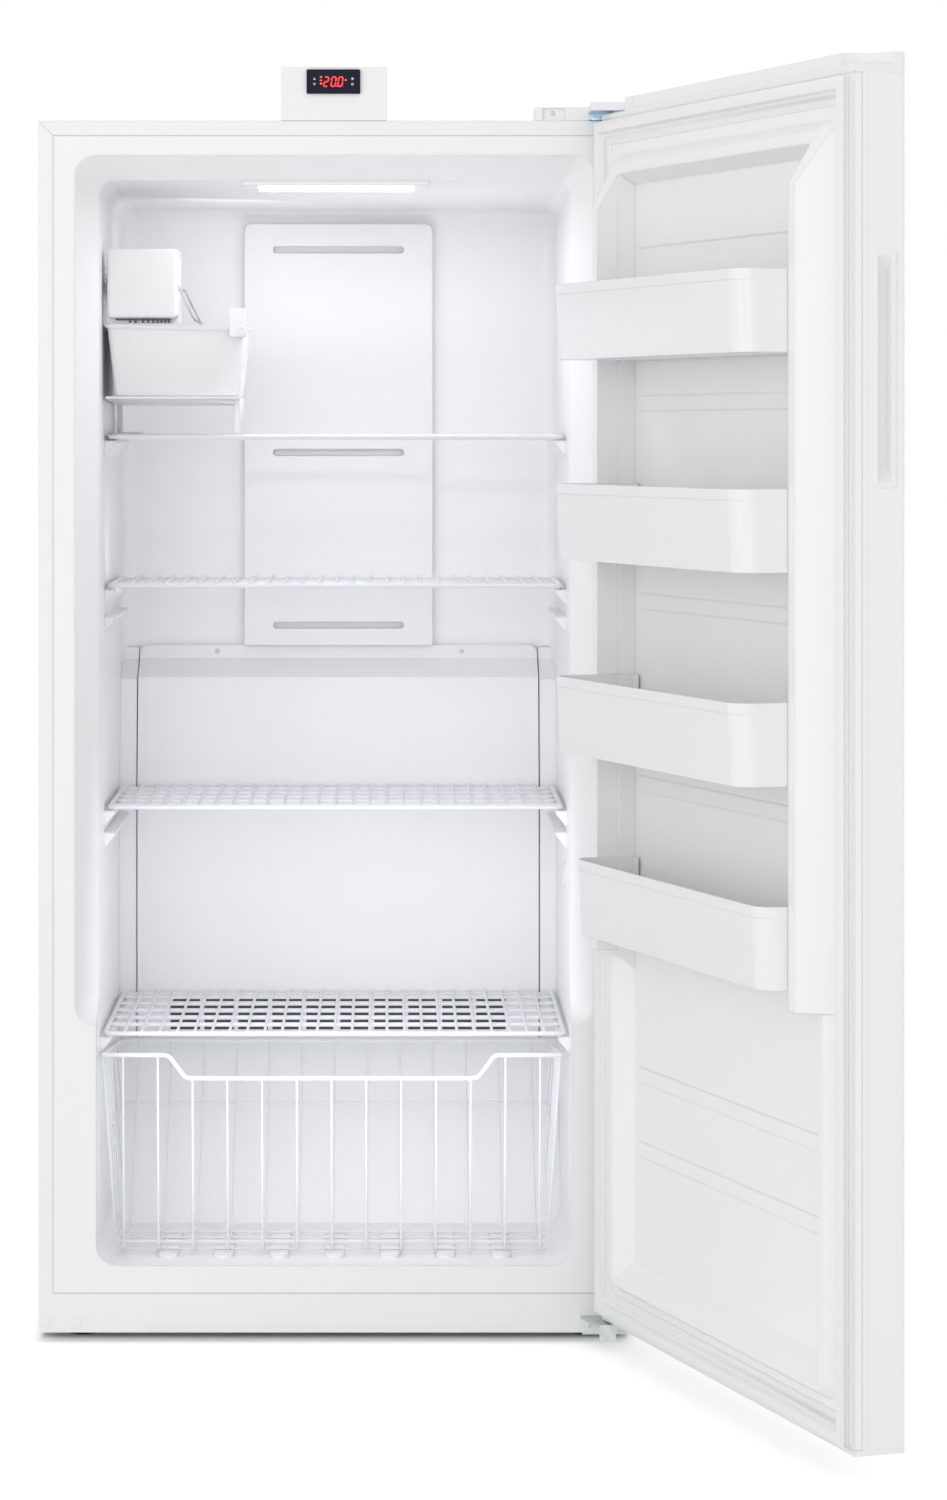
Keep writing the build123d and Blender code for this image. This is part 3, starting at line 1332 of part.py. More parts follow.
def hinge_bushes():
    """Plastic bushes in the door's two end caps, each with a thrust flange."""
    bore = PIN_RADIUS + SHAFT_PLAY
    reach = DOOR_CAP - 0.0
    top = rod(BUSH_RADIUS, (HINGE_X, HINGE_Y, DOOR_TOP - reach), (HINGE_X, HINGE_Y, DOOR_TOP))
    top = top + rod(ARM_RADIUS - 1, (HINGE_X, HINGE_Y, DOOR_TOP), (HINGE_X, HINGE_Y, ARM_BOTTOM - SEAT_GAP))
    low = rod(BUSH_RADIUS, (HINGE_X, HINGE_Y, DOOR_BOTTOM), (HINGE_X, HINGE_Y, DOOR_BOTTOM + reach))
    low = low + rod(
        ARM_RADIUS - 1, (HINGE_X, HINGE_Y, BOTTOM_ARM_TOP + SEAT_GAP), (HINGE_X, HINGE_Y, DOOR_BOTTOM)
    )
    hole = rod(bore, (HINGE_X, HINGE_Y, -FAR / 2), (HINGE_X, HINGE_Y, FAR))
    return [top - hole, low - hole]


def handle_room():
    """The hole in the door's free edge that takes the handle pocket."""
    return door_block(
        CABINET_WIDTH - HANDLE_DEEP,
        CABINET_WIDTH + 5,
        -HANDLE_OUTER + 2,
        -HANDLE_INNER - 5,
        HANDLE_BOTTOM + 4,
        HANDLE_TOP - 4,
    )


def handle_pocket():
    """Finger pocket set into the free edge: a frame and a well with sloping ends."""
    body = handle_room() & door_block(0, CABINET_WIDTH, -DOOR_THICKNESS, 0, 0, FAR)
    frame = door_block(
        CABINET_WIDTH,
        CABINET_WIDTH + HANDLE_PROUD,
        -HANDLE_OUTER,
        -HANDLE_INNER,
        HANDLE_BOTTOM,
        HANDLE_TOP,
    )
    frame = fillet(frame.edges().filter_by(Axis.X), 6.0)
    u1 = CABINET_WIDTH + HANDLE_PROUD + 1
    u0 = CABINET_WIDTH - HANDLE_DEEP + 3
    z0, z1 = HANDLE_BOTTOM + 9, HANDLE_TOP - 9
    slope = 20.0
    well = prism(
        [
            (HALF - u1, z0),
            (HALF - u1, z1),
            (HALF - u0, z1 - slope),
            (HALF - u0, z0 + slope),
        ],
        "Y",
        DOOR_INNER - HANDLE_OUTER + 5,
        DOOR_INNER - HANDLE_INNER - 8,
    )
    return body + frame - well


def door_panel():
    """Painted steel skin: the outer face and two folded sides with a hemmed edge."""
    z0, z1 = DOOR_PANEL_BOTTOM, DOOR_PANEL_TOP
    width = CABINET_WIDTH
    outer = door_block(0, width, -DOOR_THICKNESS, -DOOR_STEEL_EDGE, z0, z1)
    corners = [e for e in outer.edges().filter_by(Axis.Z) if e.center().Y < DOOR_OUTER + 1]
    outer = fillet(corners, 4.0)
    steel = DOOR_STEEL
    inner = door_block(steel, width - steel, -DOOR_THICKNESS + steel, 5, z0 - 5, z1 + 5)
    corners = [e for e in inner.edges().filter_by(Axis.Z) if e.center().Y < DOOR_OUTER + 5]
    inner = fillet(corners, 4.0 - steel)
    hem = -DOOR_STEEL_EDGE - 7.6
    grooves = [
        door_block(-1, 0.5, hem - 0.5, hem + 0.5, z0 - 1, z1 + 1),
        door_block(width - 0.5, width + 1, hem - 0.5, hem + 0.5, z0 - 1, z1 + 1),
    ]
    return outer - inner - grooves - handle_room()


def dike(free_side, by):
    """A dike beside the recess: its section (u, v) drawn out upwards, with a ramp at the top."""
    section = [
        (PLUG_EDGE, -40.0),
        (RECESS_EDGE, -40.0),
        (RECESS_EDGE, DIKE_STEP),
        (DIKE_CREST_IN, DIKE_STEP),
        (DIKE_CREST_IN, DIKE_RISE),
        (DIKE_CREST_OUT, DIKE_RISE),
        (PLUG_EDGE, 0.0),
    ]
    section = grown(section, -by)
    if free_side:
        section = [(CABINET_WIDTH - u, v) for u, v in section]
    body = prism(door_outline(section), "Z", DIKE_BOTTOM + by, PLUG_TOP - by)
    ramp = grown(
        [
            (DOOR_INNER, PLUG_TOP - 3),
            (DOOR_INNER + DIKE_RISE, PLUG_TOP - DIKE_RAMP),
            (DOOR_INNER + DIKE_RISE + 60, PLUG_TOP - DIKE_RAMP - 60),
            (DOOR_INNER + DIKE_RISE + 60, PLUG_TOP + 60),
            (DOOR_INNER, PLUG_TOP + 60),
        ],
        by,
    )
    return body - prism(ramp, "X", -FAR, FAR)


def plug(by):
    """The low raised rim of the door's liner, sloping in all round."""
    sections = []
    for rise, inset in ((-DOOR_STEEL_EDGE, 0.0), (0.0, 0.0), (PLUG_RISE - by, 12.0)):
        half = CABINET_WIDTH / 2 - PLUG_EDGE - inset - by
        z0 = PLUG_BOTTOM + inset * 0.8 + by
        z1 = PLUG_TOP - inset - by
        plane = Plane(origin=(0, DOOR_INNER + rise, (z0 + z1) / 2), x_dir=(1, 0, 0), z_dir=(0, 1, 0))
        sections.append(plane * RectangleRounded(2 * half, z1 - z0, 26.0 - inset / 3 - by))
    return loft(sections, ruled=True)


def recess(by):
    """The long recess between the dikes, with a wide slope at its foot."""
    half = CABINET_WIDTH / 2 - RECESS_EDGE + by
    deep = DOOR_INNER - RECESS_DEPTH - by
    high = DOOR_INNER + PLUG_RISE + 20
    rise = high - deep
    foot = [(deep, RECESS_BOTTOM - by), (high, RECESS_BOTTOM - by - RECESS_SLOPE * rise)]
    outline = foot + [(high, RECESS_TOP + by + rise * 0.6), (deep, RECESS_TOP + by)]
    straight = prism(outline, "X", -half, half)
    lean = (RECESS_EDGE - RIM_CREST_IN) / (PLUG_RISE + RECESS_DEPTH) * (PLUG_RISE + 20 + RECESS_DEPTH)
    section = [
        (RECESS_EDGE, -RECESS_DEPTH),
        (CABINET_WIDTH - RECESS_EDGE, -RECESS_DEPTH),
        (CABINET_WIDTH - RECESS_EDGE + lean, PLUG_RISE + 20),
        (RECESS_EDGE - lean, PLUG_RISE + 20),
    ]
    flare = prism(door_outline(grown(section, by)), "Z", 0, DIKE_BOTTOM)
    ends = foot + [(high, DIKE_BOTTOM - 14 + by + rise * 0.5), (deep, DIKE_BOTTOM - 26 + by)]
    return straight + (flare & prism(ends, "X", -FAR, FAR))


def liner_core():
    """What lies under the liner's skin above the foam's flat face."""
    skin = DOOR_LINER
    width = CABINET_WIDTH
    slab = door_block(skin, width - skin, -DOOR_STEEL_EDGE, -skin, DOOR_PANEL_BOTTOM, DOOR_PANEL_TOP)
    above = block(-FAR, FAR, DOOR_INNER - DOOR_STEEL_EDGE, FAR, 0, FAR)
    core = (slab + [plug(skin), dike(False, skin), dike(True, skin)]) & above
    return core - recess(skin)


def lugs():
    """Lugs on the dikes' inner sides that the bins hang on."""
    pads = []
    for bottom in BIN_BOTTOMS:
        for free_side in (False, True):
            u0, u1 = DIKE_CREST_IN - 1.5, DIKE_CREST_IN + LUG_REACH
            if free_side:
                u0, u1 = CABINET_WIDTH - u1, CABINET_WIDTH - u0
            v0 = DIKE_STEP + 8
            pads.append(door_block(u0, u1, v0, v0 + LUG_WIDTH, bottom + 25, bottom + LUG_TOP))
    return pads


def door_liner(core):
    """White formed liner of the door: flange, raised rim, two dikes, recess and bin lugs."""
    width = CABINET_WIDTH
    slab = door_block(0, width, -DOOR_STEEL_EDGE, 0, DOOR_PANEL_BOTTOM, DOOR_PANEL_TOP)
    above = block(-FAR, FAR, DOOR_INNER - DOOR_STEEL_EDGE, FAR, 0, FAR)
    form = (slab + [plug(0), dike(False, 0), dike(True, 0)]) & above
    form = form - recess(0) - core
    floor_v = -RECESS_DEPTH
    ribs = [
        door_block(
            RECESS_EDGE + 14,
            width - RECESS_EDGE - 14,
            floor_v - 1,
            floor_v + 0.8,
            z - PANEL_RIB_HEIGHT / 2,
            z + PANEL_RIB_HEIGHT / 2,
        )
        for z in PANEL_RIBS
    ]
    return form + (lugs() + ribs)


def door_foam(core):
    """Foam between the door's skin and its liner."""
    steel = DOOR_STEEL
    width = CABINET_WIDTH
    slab = door_block(
        steel, width - steel, -DOOR_THICKNESS + steel, -DOOR_STEEL_EDGE, DOOR_PANEL_BOTTOM, DOOR_PANEL_TOP
    )
    corners = [e for e in slab.edges().filter_by(Axis.Z) if e.center().Y < DOOR_OUTER + 5]
    slab = fillet(corners, 4.0 - steel)
    return slab + core - handle_room()


def frame_ring(edge0, edge1, v0, v1):
    """A square ring on the door's inner face, between two distances from its edges."""
    z0, z1 = DOOR_PANEL_BOTTOM, DOOR_PANEL_TOP
    outer = door_block(edge0, CABINET_WIDTH - edge0, v0, v1, z0 + edge0, z1 - edge0)
    inner = door_block(edge1, CABINET_WIDTH - edge1, v0 - 1, v1 + 1, z0 + edge1, z1 - edge1)
    return outer - inner


def gasket_crown(edge, reach):
    """The sloping outer edge of the gasket's head, up to its flat face."""
    z0, z1 = DOOR_PANEL_BOTTOM, DOOR_PANEL_TOP
    sections = []
    for v, inset in ((reach - GASKET_CROWN, edge), (reach, edge + GASKET_SLOPE)):
        plane = Plane(origin=(0, DOOR_INNER + v, (z0 + z1) / 2), x_dir=(1, 0, 0), z_dir=(0, 1, 0))
        sections.append(plane * Rectangle(CABINET_WIDTH - 2 * inset, z1 - z0 - 2 * inset))
    inside = edge + 16
    room = door_block(
        inside, CABINET_WIDTH - inside, reach - GASKET_CROWN - 1, reach + 1, z0 + inside, z1 - inside
    )
    return loft(sections, ruled=True) - room


def door_gasket():
    """Magnetic gasket: a foot on the liner, a soft bellows and the magnet's head."""
    reach = DOOR_GAP - GASKET_PLAY
    edge = GASKET_EDGE
    foot = frame_ring(edge + 8, edge + GASKET_WIDTH, 0, 4.0)
    neck = frame_ring(edge + 2, edge + 13, 0, reach - 4)
    head = frame_ring(edge, edge + 16, reach - 4, reach - GASKET_CROWN) + gasket_crown(edge, reach)
    web = frame_ring(edge + 12, edge + 24, 7.0, 9.0)
    lip = frame_ring(edge + 22, edge + 25, 3.0, 9.0)
    return foot + [neck, head, web, lip]


NOTCH_RADIUS = 52.0
NOTCH_U = 865.0
NOTCH_V = -4.0


def door_top_cap():
    """Moulded top cap: low at the hinge, then a ridge with a shallow panel and a scooped corner."""
    width = CABINET_WIDTH
    thick = DOOR_THICKNESS
    base = door_block(0, width, -thick, 0, DOOR_PANEL_TOP, DOOR_TOP)
    ridge = door_block(DOOR_RIDGE_START, width, -thick, 0, DOOR_TOP, DOOR_RIDGE_TOP)
    cap = base + ridge
    corners = [e for e in cap.edges().filter_by(Axis.Z) if e.center().Y < DOOR_OUTER + 1]
    corners = [e for e in corners if abs(abs(e.center().X) - HALF) < 1]
    cap = fillet(corners, 4.0)
    panel = door_block(DOOR_RIDGE_START + 26, width - 92, -2.5, 5, DOOR_TOP + 3, DOOR_RIDGE_TOP + 5)
    x, y = HALF - NOTCH_U, DOOR_INNER + NOTCH_V
    scoop = rod(NOTCH_RADIUS, (x, y, DOOR_TOP + 4), (x, y, DOOR_RIDGE_TOP + 5))
    return cap - panel - scoop - door_bush_holes()[0]


def door_bottom_cap():
    """Moulded bottom cap with the lower bush's seat."""
    cap = door_block(0, CABINET_WIDTH, -DOOR_THICKNESS, 0, DOOR_BOTTOM, DOOR_PANEL_BOTTOM)
    corners = [e for e in cap.edges().filter_by(Axis.Z) if e.center().Y < DOOR_OUTER + 1]
    cap = fillet(corners, 4.0)
    return cap - door_bush_holes()[1]


def bin_outline(reach, inset):
    """Plan (u, v) of a bin: narrow behind, where it passes the dikes' steps."""
    narrow = RECESS_EDGE + BIN_PLAY
    wide = DIKE_CREST_IN + BIN_PLAY
    width = CABINET_WIDTH
    step = DIKE_STEP + BIN_PLAY
    outline = [
        (narrow, BIN_BACK),
        (width - narrow, BIN_BACK),
        (width - narrow, step),
        (width - wide, step),
        (width - wide, reach),
        (wide, reach),
        (wide, step),
        (narrow, step),
    ]
    return grown(outline, -inset)


def bin_body(reach, inset, z0, z1):
    """A bin's solid between two heights: tapered to the foot, with round front corners."""
    sections = []
    for z, taper in ((z0, BIN_TAPER), (z1, 0.0)):
        outline = bin_outline(reach - taper, inset)
        points = [(x, y, z) for x, y in door_outline(outline)]
        face = make_face(Polyline(*points, close=True))
        front = [v for v in face.vertices() if v.Y > DOOR_INNER + reach - taper - inset - 1]
        sections.append(fillet(front, BIN_CORNER - inset))
    return loft(sections, ruled=True)


def door_bin(bottom, reach):
    """One door bin: a tapered tray with a lip, a low back and slots for the dikes' lugs."""
    top = bottom + BIN_HEIGHT
    tray = bin_body(reach, 0.0, bottom, top)
    room = bin_body(reach, BIN_WALL, bottom + BIN_WALL, top + 0.01)
    front_only = door_block(0, CABINET_WIDTH, DIKE_STEP + 20, reach + 20, top - BIN_LIP, top)
    lip = bin_body(reach + BIN_LIP_PROUD, 0.0, bottom, top) & front_only
    tray = tray + lip - room
    tray = tray - door_block(
        RECESS_EDGE + 20, CABINET_WIDTH - RECESS_EDGE - 20, BIN_BACK - 5, BIN_BACK + 8, bottom + BIN_BACK_HEIGHT, FAR
    )
    v0 = DIKE_STEP + 8
    for u0, u1 in (
        (DIKE_CREST_IN, DIKE_CREST_IN + LUG_REACH + 3),
        (CABINET_WIDTH - DIKE_CREST_IN - LUG_REACH - 3, CABINET_WIDTH - DIKE_CREST_IN),
    ):
        slot = door_block(u0, u1, v0 - SEAT_GAP, v0 + LUG_WIDTH + SEAT_GAP, bottom - 5, bottom + LUG_TOP + SEAT_GAP)
        tray = tray - slot
    return tray


# ---------------------------------------------------------------- assembly


def build():
    space = cavity(0)
    liner_space = cavity(LINER_WALL)
    save("outer_shell", outer_shell())
    save("back_panel", back_panel())
    save("base_pan", base_pan() - roller_wells())
    save("cabinet_foam", cabinet_foam(liner_space))
    save("cabinet_liner", cabinet_liner(space, liner_space))
    save("kick_plate", kick_plate())
    save("rim_plugs", rim_plugs())
    save("duct_cover", duct_cover())
    save("evaporator_cover", evaporator_cover())
    save("cabinet_screws", cabinet_screws())
    save("evaporator_coil", evaporator_coil())
    save("evaporator_fan_motor", evaporator_fan_motor())
    save("evaporator_fan", evaporator_fan())
    save("defrost_heater", defrost_heater())
    save("light_lens", light_lens())
    save("ice_maker_cover", ice_maker_cover())
    save("ice_maker_mould", ice_maker_mould())
    save("ice_maker_arm", ice_maker_arm())
    save("ice_ejector", ice_ejector())
    save("ice_bin", ice_bin())
    save("ice_bin_stand", ice_bin_stand())
    save("top_hinge_bracket", top_hinge_bracket())
    save("top_hinge_cover", top_hinge_cover())
    save("bottom_hinge_bracket", bottom_hinge_bracket())
    save("control_housing", control_housing())
    save("control_module", control_module())
    for name, (x, z) in key_places().items():
        save(name, key(x, z))
    save("compressor", compressor())
    save("condenser", condenser())
    save("condenser_fan_motor", condenser_fan_motor())
    save("condenser_fan", condenser_fan())
    save("drip_pan", drip_pan())
    save("machine_cover", machine_cover())
    save("power_inlet", power_inlet())
    save("roller_brackets", roller_brackets())
    save("rear_rollers", rear_rollers())
    save("levelling_foot_left", levelling_foot(-FOOT_X))
    save("levelling_foot_right", levelling_foot(FOOT_X))
    for i, (height, front) in enumerate(zip(SHELF_HEIGHTS, SHELF_FRONTS), 1):
        save(f"wire_shelf_{i}", wire_shelf(height, front, SHELF_BACK))
    ends = [basket_front(), basket_back()]
    save("basket_ends", ends)
    save("basket_sides", [basket_side(side) - ends for side in (-1, 1)])
    save("basket_floor", basket_floor())
    core = liner_core()
    save("door_panel", swung(door_panel()))
    save("door_foam", swung(door_foam(core)))
    save("door_liner", swung(door_liner(core)))
    save("door_gasket", swung(door_gasket()))
    save("door_top_cap", swung(door_top_cap()))
    save("door_bottom_cap", swung(door_bottom_cap()))
    save("handle_pocket", swung(handle_pocket()))
    save("hinge_bushes", [swung(bush) for bush in hinge_bushes()])
    for i, (bottom, reach) in enumerate(zip(BIN_BOTTOMS, BIN_REACHES), 1):
        save(f"door_bin_{i}", swung(door_bin(bottom, reach)))


build()
os.makedirs("parts", exist_ok=True)
for node, piece in parts.items():
    if isinstance(piece, list):
        piece = Compound(children=piece) if len(piece) > 1 else piece[0]
    export_step(piece, f"parts/{node}.step")
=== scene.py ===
from math import cos, pi, radians, sin

import bmesh
import bpy
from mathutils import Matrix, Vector


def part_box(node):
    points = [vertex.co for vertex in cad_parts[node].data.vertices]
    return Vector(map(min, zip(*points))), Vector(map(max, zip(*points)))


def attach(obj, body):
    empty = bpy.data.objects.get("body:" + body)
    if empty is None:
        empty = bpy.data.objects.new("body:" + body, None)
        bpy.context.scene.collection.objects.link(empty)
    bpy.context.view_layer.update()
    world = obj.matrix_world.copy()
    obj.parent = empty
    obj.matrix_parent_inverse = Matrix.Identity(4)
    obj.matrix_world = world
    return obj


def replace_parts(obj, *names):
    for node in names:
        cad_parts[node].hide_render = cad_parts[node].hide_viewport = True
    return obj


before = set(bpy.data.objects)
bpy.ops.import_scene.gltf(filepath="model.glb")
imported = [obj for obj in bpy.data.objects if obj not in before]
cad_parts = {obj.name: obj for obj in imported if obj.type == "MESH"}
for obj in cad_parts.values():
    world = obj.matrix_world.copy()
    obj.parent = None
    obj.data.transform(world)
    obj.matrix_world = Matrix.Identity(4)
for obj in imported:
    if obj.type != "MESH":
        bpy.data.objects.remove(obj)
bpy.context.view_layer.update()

# Camera. The photograph was taken level with the upper shelves, from six metres off and a little to
# the right of the cabinet's middle, with a long lens whose picture is shifted down and to the right.
camera_data = bpy.data.cameras.new("camera")
camera_data.sensor_fit = "VERTICAL"
camera_data.sensor_height = 36.0
camera_data.lens = 100.54
camera_data.shift_x = 0.059
camera_data.shift_y = -0.212
camera_data.clip_start = 0.1
camera_data.clip_end = 200.0
camera = bpy.data.objects.new("camera", camera_data)
camera.location = (0.0732, -6.349, 1.3067)
camera.rotation_euler = (pi / 2, 0, 0)
bpy.context.scene.collection.objects.link(camera)
bpy.context.scene.camera = camera
bpy.context.scene.view_settings.view_transform = "Standard"


# Studio. A white room without walls: nearly all its light comes evenly from all round, with a broad
# soft lamp in front and one at the left for shape, and a pale floor that keeps the freezer's shadow,
# with a painted shadow added under the cabinet.
def add_node(tree, kind, settings=None, **values):
    """A node with its settings and the values of its named inputs."""
    node = tree.nodes.new(kind)
    for key, value in (settings or {}).items():
        setattr(node, key, value)
    for key, value in values.items():
        node.inputs[key.replace("_", " ")].default_value = value
    return node


def reckoned(tree, operation, *terms):
    """The output of a sum on numbers and on other nodes' outputs."""
    node = add_node(tree, "ShaderNodeMath", {"operation": operation})
    for socket, term in zip(node.inputs, terms):
        if isinstance(term, float):
            socket.default_value = term
        else:
            tree.links.new(term, socket)
    return node.outputs[0]


world = bpy.data.worlds.new("white studio")
bpy.context.scene.world = world
world.use_nodes = True
sky = world.node_tree
sky.nodes.clear()
room_light = add_node(sky, "ShaderNodeBackground", Color=(1.0, 1.0, 1.0, 1), Strength=0.82)
seen_white = add_node(sky, "ShaderNodeBackground", Color=(1.0, 1.0, 1.0, 1), Strength=1.0)
sky_path = add_node(sky, "ShaderNodeLightPath").outputs
camera_or_glossy = reckoned(sky, "MAXIMUM", sky_path["Is Camera Ray"], sky_path["Is Glossy Ray"])
either = add_node(sky, "ShaderNodeMixShader")
room = add_node(sky, "ShaderNodeOutputWorld")
sky.links.new(reckoned(sky, "MAXIMUM", camera_or_glossy, sky_path["Is Transmission Ray"]), either.inputs[0])
sky.links.new(room_light.outputs[0], either.inputs[1])
sky.links.new(seen_white.outputs[0], either.inputs[2])
sky.links.new(either.outputs[0], room.inputs["Surface"])


def soft_lamp(name, place, aim, width, height, watts):
    """A flat lamp of a given size at one place, turned towards another."""
    data = bpy.data.lights.new(name, "AREA")
    data.shape = "RECTANGLE"
    data.size = width
    data.size_y = height
    data.energy = watts
    lamp = bpy.data.objects.new(name, data)
    lamp.location = place
    direction = Vector(aim) - Vector(place)
    lamp.rotation_euler = direction.to_track_quat("-Z", "Y").to_euler()
    bpy.context.scene.collection.objects.link(lamp)
    return lamp


soft_lamp("front lamp", (-0.6, -7.6, 2.2), (0.1, -0.3, 0.9), 3.5, 3.0, 45)
soft_lamp("left lamp", (-3.6, -4.2, 2.0), (0.3, -0.5, 0.9), 2.5, 2.5, 24)

floor_mesh = bpy.data.meshes.new("studio_floor")
floor_mesh.from_pydata([(-30, -30, 0), (30, -30, 0), (30, 60, 0), (-30, 60, 0)], [], [(0, 1, 2, 3)])
studio_floor = bpy.data.objects.new("studio_floor", floor_mesh)
bpy.context.scene.collection.objects.link(studio_floor)
floor_paint = bpy.data.materials.new("pale floor")
floor_paint.use_nodes = True
floor_tree = floor_paint.node_tree
floor_shader = floor_tree.nodes["Principled BSDF"]
floor_shader.inputs["Base Color"].default_value = (0.92, 0.92, 0.92, 1)
floor_shader.inputs["Roughness"].default_value = 0.9
floor_shader.inputs["Specular IOR Level"].default_value = 0.1
floor_shader.inputs["Emission Color"].default_value = (1, 1, 1, 1)
floor_place = add_node(floor_tree, "ShaderNodeTexCoord")
floor_axes = add_node(floor_tree, "ShaderNodeSeparateXYZ")
floor_tree.links.new(floor_place.outputs["Object"], floor_axes.inputs[0])


def floor_fade(distance, start, end, manner):
    """A mask over the floor: nothing at the start, full at the end, both in metres."""
    fade = add_node(
        floor_tree, "ShaderNodeMapRange", {"interpolation_type": manner}, From_Min=start, From_Max=end
    )
    floor_tree.links.new(distance, fade.inputs["Value"])
    return fade.outputs[0]


# The floor shines a little towards the camera, but its glow is masked off under the cabinet: a painted
# shadow that keeps the gap there dark.
floor_shine = 0.34
from_middle = reckoned(floor_tree, "ABSOLUTE", floor_axes.outputs["X"])
under_front = floor_fade(floor_axes.outputs["Y"], -0.320, -0.285, "SMOOTHSTEP")
under_sides = floor_fade(from_middle, 0.428, 0.418, "SMOOTHSTEP")
under_back = floor_fade(floor_axes.outputs["Y"], 0.350, 0.330, "LINEAR")
under = reckoned(floor_tree, "MULTIPLY", under_front, under_sides)
painted_shadow_mask = reckoned(floor_tree, "MULTIPLY", under, under_back)
open_floor = reckoned(floor_tree, "MULTIPLY_ADD", painted_shadow_mask, -floor_shine, floor_shine)
floor_path = add_node(floor_tree, "ShaderNodeLightPath").outputs
floor_seen = reckoned(floor_tree, "MAXIMUM", floor_path["Is Camera Ray"], floor_path["Is Glossy Ray"])
floor_glow = reckoned(floor_tree, "MULTIPLY", floor_seen, open_floor)
floor_tree.links.new(floor_glow, floor_shader.inputs["Emission Strength"])
floor_mesh.materials.append(floor_paint)


# Cabinet shell. White powder-coated steel sheet, folded into the two sides, the roof and the narrow
# return round the opening; the kick plate, the controller's box and the door's skin have the same coat.
def shader_group(name, inputs, outputs):
    """An empty node group with its named sockets."""
    group = bpy.data.node_groups.new(name, "ShaderNodeTree")
    for label, kind, value in inputs:
        socket = group.interface.new_socket(name=label, in_out="INPUT", socket_type=kind)
        socket.default_value = value
    for label, kind in outputs:
        group.interface.new_socket(name=label, in_out="OUTPUT", socket_type=kind)
    return group, group.nodes.new("NodeGroupInput"), group.nodes.new("NodeGroupOutput")


def even_skin_group():
    """Slow changes of tone and gloss with a fine ripple: what a sprayed or moulded skin shows."""
    group, given, out = shader_group(
        "even skin",
        [
            ("Colour", "NodeSocketColor", (0.9, 0.9, 0.9, 1)),
            ("Shade", "NodeSocketColor", (0.85, 0.85, 0.86, 1)),
            ("Tone", "NodeSocketFloat", 0.3),
            ("Roughness", "NodeSocketFloat", 0.4),
            ("Gloss Spread", "NodeSocketFloat", 0.1),
            ("Ripple Scale", "NodeSocketFloat", 400.0),
        ],
        [("Colour", "NodeSocketColor"), ("Roughness", "NodeSocketFloat"), ("Height", "NodeSocketFloat")],
    )
    place = add_node(group, "ShaderNodeTexCoord")
    broad = add_node(group, "ShaderNodeTexNoise", Scale=3.2, Detail=3.0, Roughness=0.55)
    ripple = add_node(group, "ShaderNodeTexNoise", Detail=2.0, Roughness=0.6)
    amount = add_node(group, "ShaderNodeMath", {"operation": "MULTIPLY", "use_clamp": True})
    mix = add_node(group, "ShaderNodeMix", {"data_type": "RGBA"})
    gloss = add_node(group, "ShaderNodeMath", {"operation": "MULTIPLY_ADD"})
    centred = add_node(group, "ShaderNodeMath", {"operation": "SUBTRACT"})
    centred.inputs[1].default_value = 0.5
    link = group.links.new
    link(place.outputs["Object"], broad.inputs["Vector"])
    link(place.outputs["Object"], ripple.inputs["Vector"])
    link(given.outputs["Ripple Scale"], ripple.inputs["Scale"])
    link(broad.outputs["Fac"], amount.inputs[0])
    link(given.outputs["Tone"], amount.inputs[1])
    link(amount.outputs[0], mix.inputs[0])
    link(given.outputs["Colour"], mix.inputs[6])
    link(given.outputs["Shade"], mix.inputs[7])
    link(broad.outputs["Fac"], centred.inputs[0])
    link(centred.outputs[0], gloss.inputs[0])
    link(given.outputs["Gloss Spread"], gloss.inputs[1])
    link(given.outputs["Roughness"], gloss.inputs[2])
    link(mix.outputs[2], out.inputs["Colour"])
    link(gloss.outputs[0], out.inputs["Roughness"])
    link(ripple.outputs["Fac"], out.inputs["Height"])
    return group


even_skin = even_skin_group()


def dress_shader(tree, skin, bump):
    """Joins a group's colour, gloss and relief to the material's own shader."""
    shader = tree.nodes["Principled BSDF"]
    tree.links.new(skin.outputs["Colour"], shader.inputs["Base Color"])
    tree.links.new(skin.outputs["Roughness"], shader.inputs["Roughness"])
    tree.links.new(skin.outputs["Height"], bump.inputs["Height"])
    tree.links.new(bump.outputs["Normal"], shader.inputs["Normal"])


def skin_material(
    name, colour, shade, roughness, ripple_scale, ripple,
    tone=0.3, spread=0.1, coat=0.0, specular=0.5, edge=0.0,
):
    """A material with the even skin; edge is the radius that its folded or moulded edges show."""
    made = bpy.data.materials.new(name)
    made.use_nodes = True
    tree = made.node_tree
    shader = tree.nodes["Principled BSDF"]
    shader.inputs["Coat Weight"].default_value = coat
    shader.inputs["Coat Roughness"].default_value = 0.12
    shader.inputs["Specular IOR Level"].default_value = specular
    skin = add_node(
        tree, "ShaderNodeGroup", {"node_tree": even_skin}, Colour=(*colour, 1), Shade=(*shade, 1),
        Tone=tone, Roughness=roughness, Gloss_Spread=spread, Ripple_Scale=ripple_scale,
    )
    bump = add_node(tree, "ShaderNodeBump", Strength=ripple, Distance=0.0004)
    if edge:
        soft_edge = add_node(tree, "ShaderNodeBevel", {"samples": 6}, Radius=edge)
        tree.links.new(soft_edge.outputs["Normal"], bump.inputs["Normal"])
    dress_shader(tree, skin, bump)
    return made


def dress(finish, *nodes):
    """Gives CAD nodes their finish."""
    for name in nodes:
        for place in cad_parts[name].material_slots:
            place.material = finish


white_coat = skin_material(
    "white powder coat", (0.90, 0.90, 0.90), (0.875, 0.875, 0.875),
    roughness=0.34, ripple_scale=900.0, ripple=0.12, spread=0.06,
)
dress(white_coat, "outer_shell", "kick_plate", "control_housing", "door_panel")


